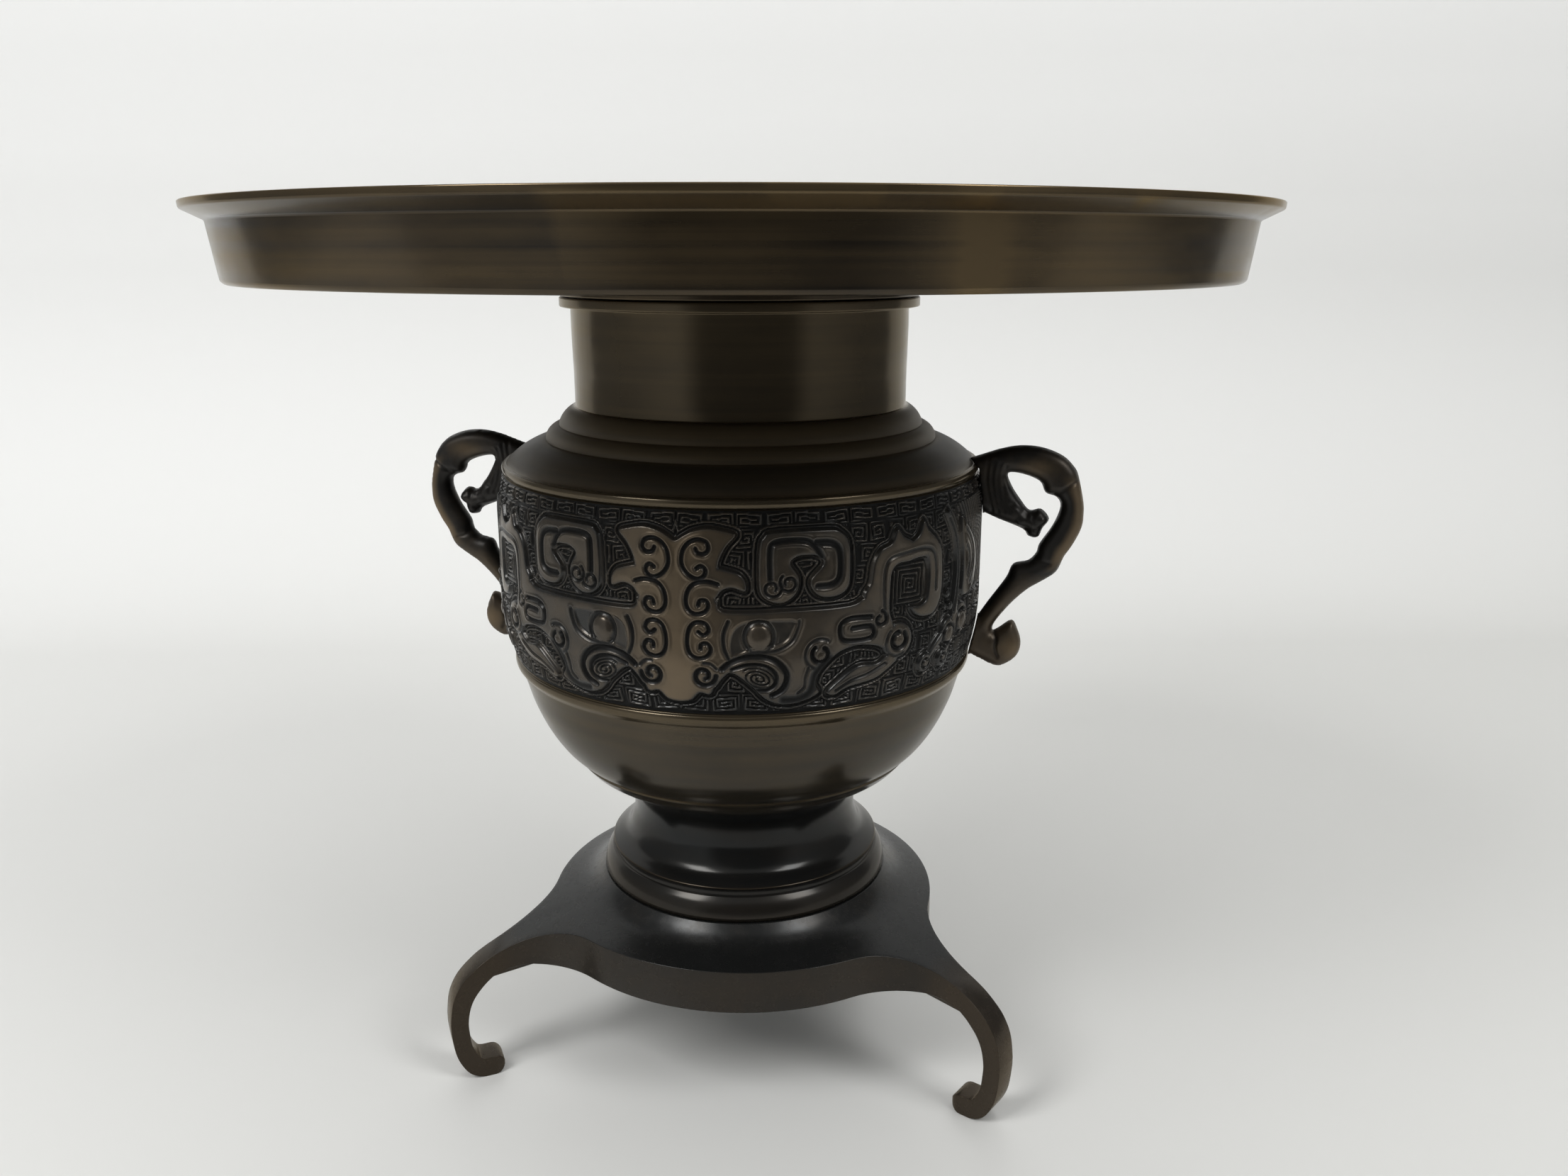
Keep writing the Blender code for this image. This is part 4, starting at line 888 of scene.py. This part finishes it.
# Handles: drawn like the frieze, out from the wall and up from the frieze's foot.
HANDLE_OUTER = [
    (4.2, 62.7), (8.9, 63.8), (13.6, 64.0), (18.3, 63.2), (23.0, 61.2), (26.0, 58.4), (27.6, 55.5),
    (29.5, 47.4), (29.7, 42.5), (29.0, 39.0), (26.9, 34.5), (24.7, 30.9), (22.6, 26.2), (18.0, 22.8),
    (14.7, 20.6), (11.0, 17.1), (7.8, 13.3), (5.0, 9.2), (4.7, 7.1), (6.5, 8.0), (10.3, 10.6), (12.2, 7.6),
    (13.3, 3.8), (12.7, 0.2), (10.6, -2.4), (7.1, -4.2), (3.6, -3.4),
]
HANDLE_INNER = [
    (3.2, 16.6), (8.0, 23.8), (10.0, 28.2), (14.3, 29.5), (16.6, 32.0), (17.4, 34.8), (21.0, 40.6),
    (22.9, 46.2), (21.6, 49.0), (18.4, 50.2), (16.6, 53.5), (11.6, 55.5), (7.3, 55.6), (8.5, 51.9),
    (11.2, 47.9), (14.0, 44.8), (17.3, 45.3), (19.8, 42.4), (18.0, 39.4), (16.8, 36.7), (14.0, 36.9),
    (12.2, 39.0), (5.1, 41.7),
]


def handle_seat(low, high):
    # The seat follows the wall of the vase with a hair's gap.
    up = np.linspace(low, high, 7)
    bead = BEAD_R - 2.0 * np.maximum(up - BAND_UP - 3.1, 0.0)
    wall = np.where(up > BAND_UP, bead, frieze_radius(np.clip(up, 0.0, BAND_UP)))
    return np.stack([wall - FRIEZE_R + 0.4, up], 1)


def handle_rim():
    # The outline in steps of one length, and which of its points lie on a seat.
    runs = [curve_through(HANDLE_OUTER, 4), handle_seat(-0.6, 11.5)]
    runs += [curve_through(HANDLE_INNER, 4), handle_seat(43.7, 59.9)]
    outline = np.vstack(runs)
    outline[:, 0] = np.minimum(outline[:, 0], HANDLE_OUT_X - FRIEZE_R)
    seated = [number % 2 == 1 for number, run in enumerate(runs) for point in run]
    rim = []
    on_seat = []
    for a, b, here, there in zip(outline, np.roll(outline, -1, axis=0), seated, seated[1:] + seated[:1]):
        parts = max(1, int(np.linalg.norm(b - a) / HANDLE_STEP))
        for k in range(parts):
            rim.append(a + (b - a) * k / parts)
            on_seat.append(here and (k == 0 or there))
    return np.array(rim), on_seat


def build_handle(name, side, mat):
    # A fine flat mesh of the outline, swollen to both sides and carved.
    rim, on_seat = handle_rim()
    around = [(i, (i + 1) % len(rim)) for i in range(len(rim))]
    lo = rim.min(0)
    hi = rim.max(0)
    gx, gy = np.meshgrid(np.arange(lo[0], hi[0], HANDLE_STEP), np.arange(lo[1], hi[1], HANDLE_STEP * 0.87))
    gx = gx + (np.arange(gx.shape[0]) % 2)[:, None] * HANDLE_STEP / 2
    grid = np.stack([gx.ravel(), gy.ravel()], 1)
    grid = grid[depth_inside(grid[:, 0], grid[:, 1], rim) > 0.4 * HANDLE_STEP]
    points = [Vector(p) for p in [*rim, *grid]]
    points, _, triangles, rim_ids = delaunay_2d_cdt(points, around, [], 1, 1e-5)[:4]
    flat = np.array([(p.x, p.y) for p in points])
    x = flat[:, 0]
    y = flat[:, 1]

    # Swell from the free edges only; the seats keep their full thickness.
    free = np.full(len(flat), 1e9)
    for i, j in around:
        if not (on_seat[i] and on_seat[j]):
            np.minimum(free, distance_to_line(x, y, rim[[i, j]]), out=free)
    share = np.clip(free / HANDLE_SWELL, 0, 1)
    thick = HANDLE_HALF_THICK * np.sqrt(np.clip(1 - (1 - share) ** 2.6, 0, 1))
    to_outer = distance_to_line(x, y, curve_through(HANDLE_OUTER, 3))
    to_inner = distance_to_line(x, y, curve_through(HANDLE_INNER, 3))
    thick, wear = carve_handle(x, y, thick, handle_wear(x, y, to_inner / (to_inner + to_outer + 1e-6)))
    verts = []
    for half in (1.0, -1.0):
        for index, (out, up) in enumerate(flat):
            reach = FRIEZE_R + out
            t = max(thick[index], 0.0)
            own = [k for k in rim_ids[index] if k < len(rim)]
            if own and on_seat[own[0]]:
                t = max(t, SEAT_HALF_THICK)
                reach = math.sqrt(reach * reach - t * t)
            verts.append((side * reach, half * t, BODY_LOW_Z + FRIEZE_FOOT_H + up))
    total = len(flat)
    faces = []
    uses = {}
    for a, b, c in triangles:
        faces += [(a, b, c), (a + total, c + total, b + total)]
        for pair in ((a, b), (b, c), (c, a)):
            uses[frozenset(pair)] = uses.get(frozenset(pair), 0) + 1
    for pair, times in uses.items():
        if times == 1:
            a, b = tuple(pair)
            faces.append((a, b, b + total, a + total))
    node = name.replace("_casting", "")
    obj = add_mesh(name, verts, faces, node, mat, {"wear": np.tile(wear, 2)})

    def weld(shape):
        bmesh.ops.remove_doubles(shape, verts=shape.verts, dist=0.02 * MM)
        face_outward(shape)

    with_bmesh(obj.data, weld)


def handle_wear(x, y, outward):
    # Rubbed brown on the outer side of the limb, inside the arch and on the lobe at the foot.
    limb = 0.8 * soft_step(outward - 0.6, 0.3) * soft_step(y - 28.0, 8.0) * soft_step(54.0 - y, 8.0)
    arch = 0.6 * bell(x, 16.0, 5.0) * bell(y, 58.2, 2.2)
    lobe = 0.85 * bell(x, 10.2, 4.6) * bell(y, 2.6, 5.0)
    strap = 0.35 * soft_step(25.0 - y, 10.0) * soft_step(outward - 0.3, 0.4)
    return np.max([limb, arch, lobe, strap], axis=0)


# Carving of the dragon as (points, width, depth): mane, brow, eye, mouth, nostril and the folds of
# its body. Its raised spots are (middle, radius, height).
HANDLE_CUTS = [([(1.6 + 1.7 * k, 60.5 - 0.8 * k), (1.2 + 1.6 * k, 54.0), (2.4 + 1.5 * k, 48.0),
                 (3.2 + 1.8 * k, 44.6)], 0.7, 0.5) for k in range(4)]
HANDLE_CUTS += [
    ([(8.8, 46.6), (11.0, 45.4), (13.4, 43.4)], 0.8, 0.5),
    ([(9.6, 40.6), (11.2, 39.9), (13.2, 40.2)], 0.6, 0.4),
    ([(12.4, 39.4), (15.0, 39.6), (17.9, 39.9)], 0.7, 0.7),
    ([(15.6, 44.8), (15.2, 43.0), (15.9, 40.8)], 0.6, 0.4),
    ([(19.4, 49.6), (23.0, 51.4), (27.8, 54.6)], 0.9, 0.55),
    ([(15.4, 33.0), (17.4, 30.4), (20.6, 29.4)], 1.0, 0.5),
    ([(4.6, 8.2), (5.8, 5.4), (5.6, 2.2), (6.6, -0.6)], 0.9, 0.8),
]
HANDLE_SPOTS = [((11.4, 41.7), 1.1, 0.8), ((18.2, 42.2), 1.3, 0.5), ((10.4, 45.2), 1.5, 0.4)]


def carve_handle(x, y, thick, wear):
    for points, width, deep in HANDLE_CUTS:
        groove = 1 - soft_step(distance_to_line(x, y, curve_through(points, 6)) - 0.5 * width, width)
        thick = thick - np.minimum(deep * groove, 0.6 * thick)
        wear = wear * (1 - 0.7 * groove)
    for middle, radius, high in HANDLE_SPOTS:
        thick = np.minimum(thick + high * np.sqrt(dome(x, y, middle, radius)), HANDLE_HALF_THICK)
    return thick, wear


# Materials.

class Nodes:
    # Short ways to add and link the nodes of a material or a world.
    def __init__(self, owner, shader="Principled BSDF"):
        owner.use_nodes = True
        self.tree = owner.node_tree
        self.shader = self.tree.nodes[shader]

    def put(self, value, socket):
        # Links an output to a socket, or writes a plain value there.
        if isinstance(value, bpy.types.NodeSocket):
            self.tree.links.new(value, socket)
        else:
            socket.default_value = value

    def add(self, kind, sockets, output=0, **settings):
        # A new node with its inputs by name or number; gives one output.
        made = self.tree.nodes.new(kind)
        for key, value in settings.items():
            setattr(made, key, value)
        for key, value in sockets.items():
            self.put(value, made.inputs[key])
        return made.outputs[output]

    def dress(self, **sockets):
        for key, value in sockets.items():
            self.put(value, self.shader.inputs[key.replace("_", " ")])

    def coords(self, scale):
        place = self.add("ShaderNodeTexCoord", {}, "Object")
        return self.add("ShaderNodeMapping", {"Vector": place, "Scale": scale})

    def noise(self, vector, scale, detail, rough=0.55):
        sockets = {"Vector": vector, "Scale": scale, "Detail": detail, "Roughness": rough}
        return self.add("ShaderNodeTexNoise", sockets, "Fac")

    def span(self, *values):
        # Carries a value from one range, low and high, to another.
        return self.add("ShaderNodeMapRange", dict(enumerate(values)), "Result")

    def math(self, kind, *values):
        return self.add("ShaderNodeMath", dict(enumerate(values)), operation=kind)

    def mix(self, share, a, b):
        a, b = ((*colour, 1.0) if isinstance(colour, tuple) else colour for colour in (a, b))
        return self.add("ShaderNodeMix", {"Factor": share, "A": a, "B": b}, "Result", data_type="RGBA")

    def attribute(self, name):
        return self.add("ShaderNodeAttribute", {}, "Fac", attribute_name=name)


def bronze(name, dark, brown, cloudy, rough, metal, edge=(0.8, 0.68, 0.52), lines=0.0, grain=0.0,
           sides=0.0, hollows=False, dulled=False):
    # Patinated bronze: a dark skin that is worn to brown by the piece's own "wear" values, cloudy,
    # with turning lines or the grain of a casting. A piece with hollows has painted shade, darker and
    # less shiny, where its "hollow" values say so, and one that is dulled is matt where its "dull" values
    # do.
    mat = bpy.data.materials.new(name)
    n = Nodes(mat)

    def sway(value, amount):
        return n.span(value, 0.3, 0.7, -amount, amount)

    even = n.coords((1, 1, 1))
    cloud = n.noise(n.coords((1, 1, 4)) if lines else even, 38.0, 3.0 if lines else 5.0)
    mottle = n.noise(even, 380.0, 3.0)
    share = n.math("ADD", n.attribute("wear"), sway(cloud, cloudy))
    share = n.math("ADD", share, sway(mottle, 0.015 if lines else 0.05))
    height = n.math("MULTIPLY", n.noise(even, 1500.0, 3.0, 0.5), 0.02 + grain)
    if sides:
        facing = n.add("ShaderNodeNewGeometry", {}, "Normal")
        facing = n.add("ShaderNodeSeparateXYZ", {"Vector": facing}, "Z")
        upright = n.math("SUBTRACT", 1.0, n.math("ABSOLUTE", facing))
        share = n.math("ADD", share, n.math("MULTIPLY", upright, sides))
    if lines:
        turned = n.noise(n.coords((3, 3, 420)), 1.0, 3.0, 0.6)
        share = n.math("ADD", share, sway(turned, lines))
        height = n.math("ADD", height, n.math("MULTIPLY", turned, 0.5 * lines))
    worn = n.add("ShaderNodeClamp", {"Value": share})
    colour = n.mix(worn, dark, brown)
    roughness = n.span(cloud if lines else mottle, 0.3, 0.7, rough - 0.03, rough + 0.05)
    metallic = metal
    if hollows:
        hollow = n.attribute("hollow")
        # Painted shade: the hollows are darkened towards a quarter of the dark skin.
        colour = n.mix(hollow, colour, tuple(0.25 * c for c in dark))
        roughness = n.math("ADD", roughness, n.math("MULTIPLY", hollow, 0.2))
        metallic = n.span(hollow, 0.0, 1.0, metal, 0.25 * metal)
        n.dress(Specular_IOR_Level=n.span(hollow, 0.0, 1.0, 0.5, 0.1))
    if dulled:
        dull = n.attribute("dull")
        roughness = n.math("ADD", roughness, n.math("MULTIPLY", dull, 0.3))
        metallic = n.span(dull, 0.0, 1.0, metal, 0.3 * metal)
    n.dress(
        Base_Color=colour,
        Roughness=roughness,
        Metallic=metallic,
        Specular_Tint=n.mix(worn, (0.88, 0.88, 0.88), edge),
        Normal=n.add("ShaderNodeBump", {"Height": height, "Strength": 0.2, "Distance": 0.0001}),
    )
    return mat


def paper():
    # Pale glossy paper with painted light: paler where it stands up behind the vase, higher up and towards
    # the left.
    mat = bpy.data.materials.new("studio_paper")
    n = Nodes(mat)
    upright = n.attribute("upright")
    n.dress(
        Base_Color=n.mix(n.attribute("pale"), (0.60, 0.60, 0.58), (0.90, 0.90, 0.89)),
        Roughness=n.span(upright, 0.0, 0.2, 0.4, 0.9),
        Specular_IOR_Level=n.span(upright, 0.0, 0.2, 0.4, 0.05),
    )
    return mat


# Stage, lights and camera.

def build_stage():
    # A sheet of pale paper that ends before the camera and sweeps up behind the vase.
    half = 1200.0
    front = -400.0
    bend = 400.0
    radius = 240.0
    profile = [(front, 0.0), (bend, 0.0)]
    for a in np.linspace(0, math.pi / 2, 13)[1:]:
        profile.append((bend + radius * math.sin(a), radius - radius * math.cos(a)))
    profile += [(bend + radius, z) for z in (300.0, 400.0, 500.0, 1800.0)]
    verts = [(x, y, z) for y, z in profile for x in (-half, half)]
    faces = [(2 * i, 2 * i + 1, 2 * i + 3, 2 * i + 2) for i in range(len(profile) - 1)]
    x, y, z = np.transpose(verts)
    upright = np.clip((y - bend) / radius, 0.0, 1.0)
    high = np.clip((z - radius) / 260.0, 0.0, 1.0)
    # Painted light: paler up the sweep and towards its top, and paler to the left than to the right, less so
    # high up.
    pale = 0.2 + 0.6 * upright + 0.2 * high - (0.3 - 0.04 * upright - 0.28 * high) * x / half
    layers = {"upright": upright, "pale": pale}
    floor = new_object("studio_floor", new_mesh("studio_floor", verts, faces, paper(), layers))
    floor.rotation_euler = (0, 0, math.radians(CAMERA_TURN))


def before_camera(degrees, away, height):
    # A place by its turn from the camera, its distance from the axis and its height, in metres.
    a = math.radians(CAMERA_TURN + degrees)
    return (away * math.sin(a), -away * math.cos(a), height)


# The room's brightness from behind the vase, 0, to straight in front of it, 1.
ROOM = [(0.0, 0.34), (0.25, 0.20), (0.55, 0.28), (0.86, 0.50), (0.93, 0.085), (1.0, 0.085)]
ROOM_TURN = 4.0
ROOM_TILT = 0.22
ROOM_SEEN = 0.72


def build_world():
    # A pale room: bright at the sides and above, dim straight in front, where the viewer stands.
    world = bpy.data.worlds.new("studio")
    n = Nodes(world, "Background")
    place = n.add("ShaderNodeTexCoord", {}, "Generated")

    def towards(x, y, z):
        return n.add("ShaderNodeVectorMath", {0: place, 1: (x, y, z)}, "Value", operation="DOT_PRODUCT")

    ahead = before_camera(ROOM_TURN, 1.0, 0.0)
    ramp = n.tree.nodes.new("ShaderNodeValToRGB")
    n.put(n.span(towards(*ahead), -1.0, 1.0, 0.0, 1.0), ramp.inputs["Fac"])
    stops = ramp.color_ramp.elements
    for where, level in ROOM[1:-1]:
        stops.new(where)
    for stop, (where, level) in zip(stops, ROOM):
        stop.color = (level, level, level, 1.0)
    left = towards(ROOM_TILT * ahead[1], -ROOM_TILT * ahead[0], 0.0)
    lit = n.math("MULTIPLY_ADD", left, ramp.outputs["Color"], ramp.outputs["Color"])
    # What is seen past the paper's edges is plain and pale; the room only lights and is mirrored.
    seen = n.add("ShaderNodeLightPath", {}, "Is Camera Ray")
    level = n.add("ShaderNodeMix", {"Factor": seen, "A": lit, "B": ROOM_SEEN}, "Result")
    n.dress(Color=(0.95, 0.96, 0.95, 1.0), Strength=level)
    bpy.context.scene.world = world


def add_light(name, where, size, power):
    light = bpy.data.lights.new(name, "AREA")
    light.shape = "RECTANGLE"
    light.size, light.size_y = size
    light.energy = power
    obj = new_object(name, light)
    obj.location = where
    direction = Vector((0, 0, 0.15)) - Vector(where)
    obj.rotation_euler = direction.to_track_quat("-Z", "Y").to_euler()


def build_camera():
    data = bpy.data.cameras.new("camera")
    data.lens = CAMERA_LENS
    data.sensor_width = SENSOR_WIDTH
    camera = new_object("camera", data)
    camera.location = before_camera(0.0, CAMERA_AWAY * MM, CAMERA_HEIGHT * MM)
    camera.rotation_euler = (math.radians(90 - CAMERA_PITCH), 0, math.radians(CAMERA_TURN - CAMERA_PAN))
    bpy.context.scene.camera = camera


def main():
    build_dish(bronze("dish_bronze", (0.024, 0.021, 0.018), (0.118, 0.086, 0.048),
                      cloudy=0.12, rough=0.16, metal=0.7, edge=(0.70, 0.56, 0.35), lines=0.25))
    build_body(bronze("body_bronze", (0.032, 0.029, 0.024), (0.100, 0.076, 0.045),
                      cloudy=0.10, rough=0.18, metal=0.66, edge=(0.84, 0.76, 0.62), lines=0.14,
                      dulled=True))
    build_frieze(bronze("frieze_bronze", (0.035, 0.035, 0.034), (0.168, 0.126, 0.081),
                        cloudy=0.16, rough=0.22, metal=0.6, grain=0.4, hollows=True))
    handle_mat = bronze("handle_bronze", (0.021, 0.019, 0.017), (0.150, 0.110, 0.068),
                        cloudy=0.15, rough=0.4, metal=0.5, grain=0.6)
    build_handle("dragon_handle_right_casting", 1.0, handle_mat)
    build_handle("dragon_handle_left_casting", -1.0, handle_mat)
    build_pedestal(bronze("pedestal_bronze", (0.0135, 0.015, 0.0155), (0.034, 0.026, 0.018),
                          cloudy=0.08, rough=0.19, metal=0.6, lines=0.04))
    build_stand(bronze("stand_bronze", (0.0165, 0.0170, 0.0168), (0.040, 0.0315, 0.0235),
                       cloudy=0.15, rough=0.25, metal=0.55, sides=0.6))
    build_stage()
    build_world()
    window = (0.55, 0.75)
    add_light("window_left", before_camera(-51, 1.25, 1.3), window, power=15.5)
    add_light("window_right", before_camera(51, 1.25, 1.3), window, power=10.8)
    add_light("ceiling", (0.0, 0.2, 1.9), (2.4, 2.0), power=14.2)
    build_camera()
    bpy.context.scene.view_settings.view_transform = "Standard"


main()
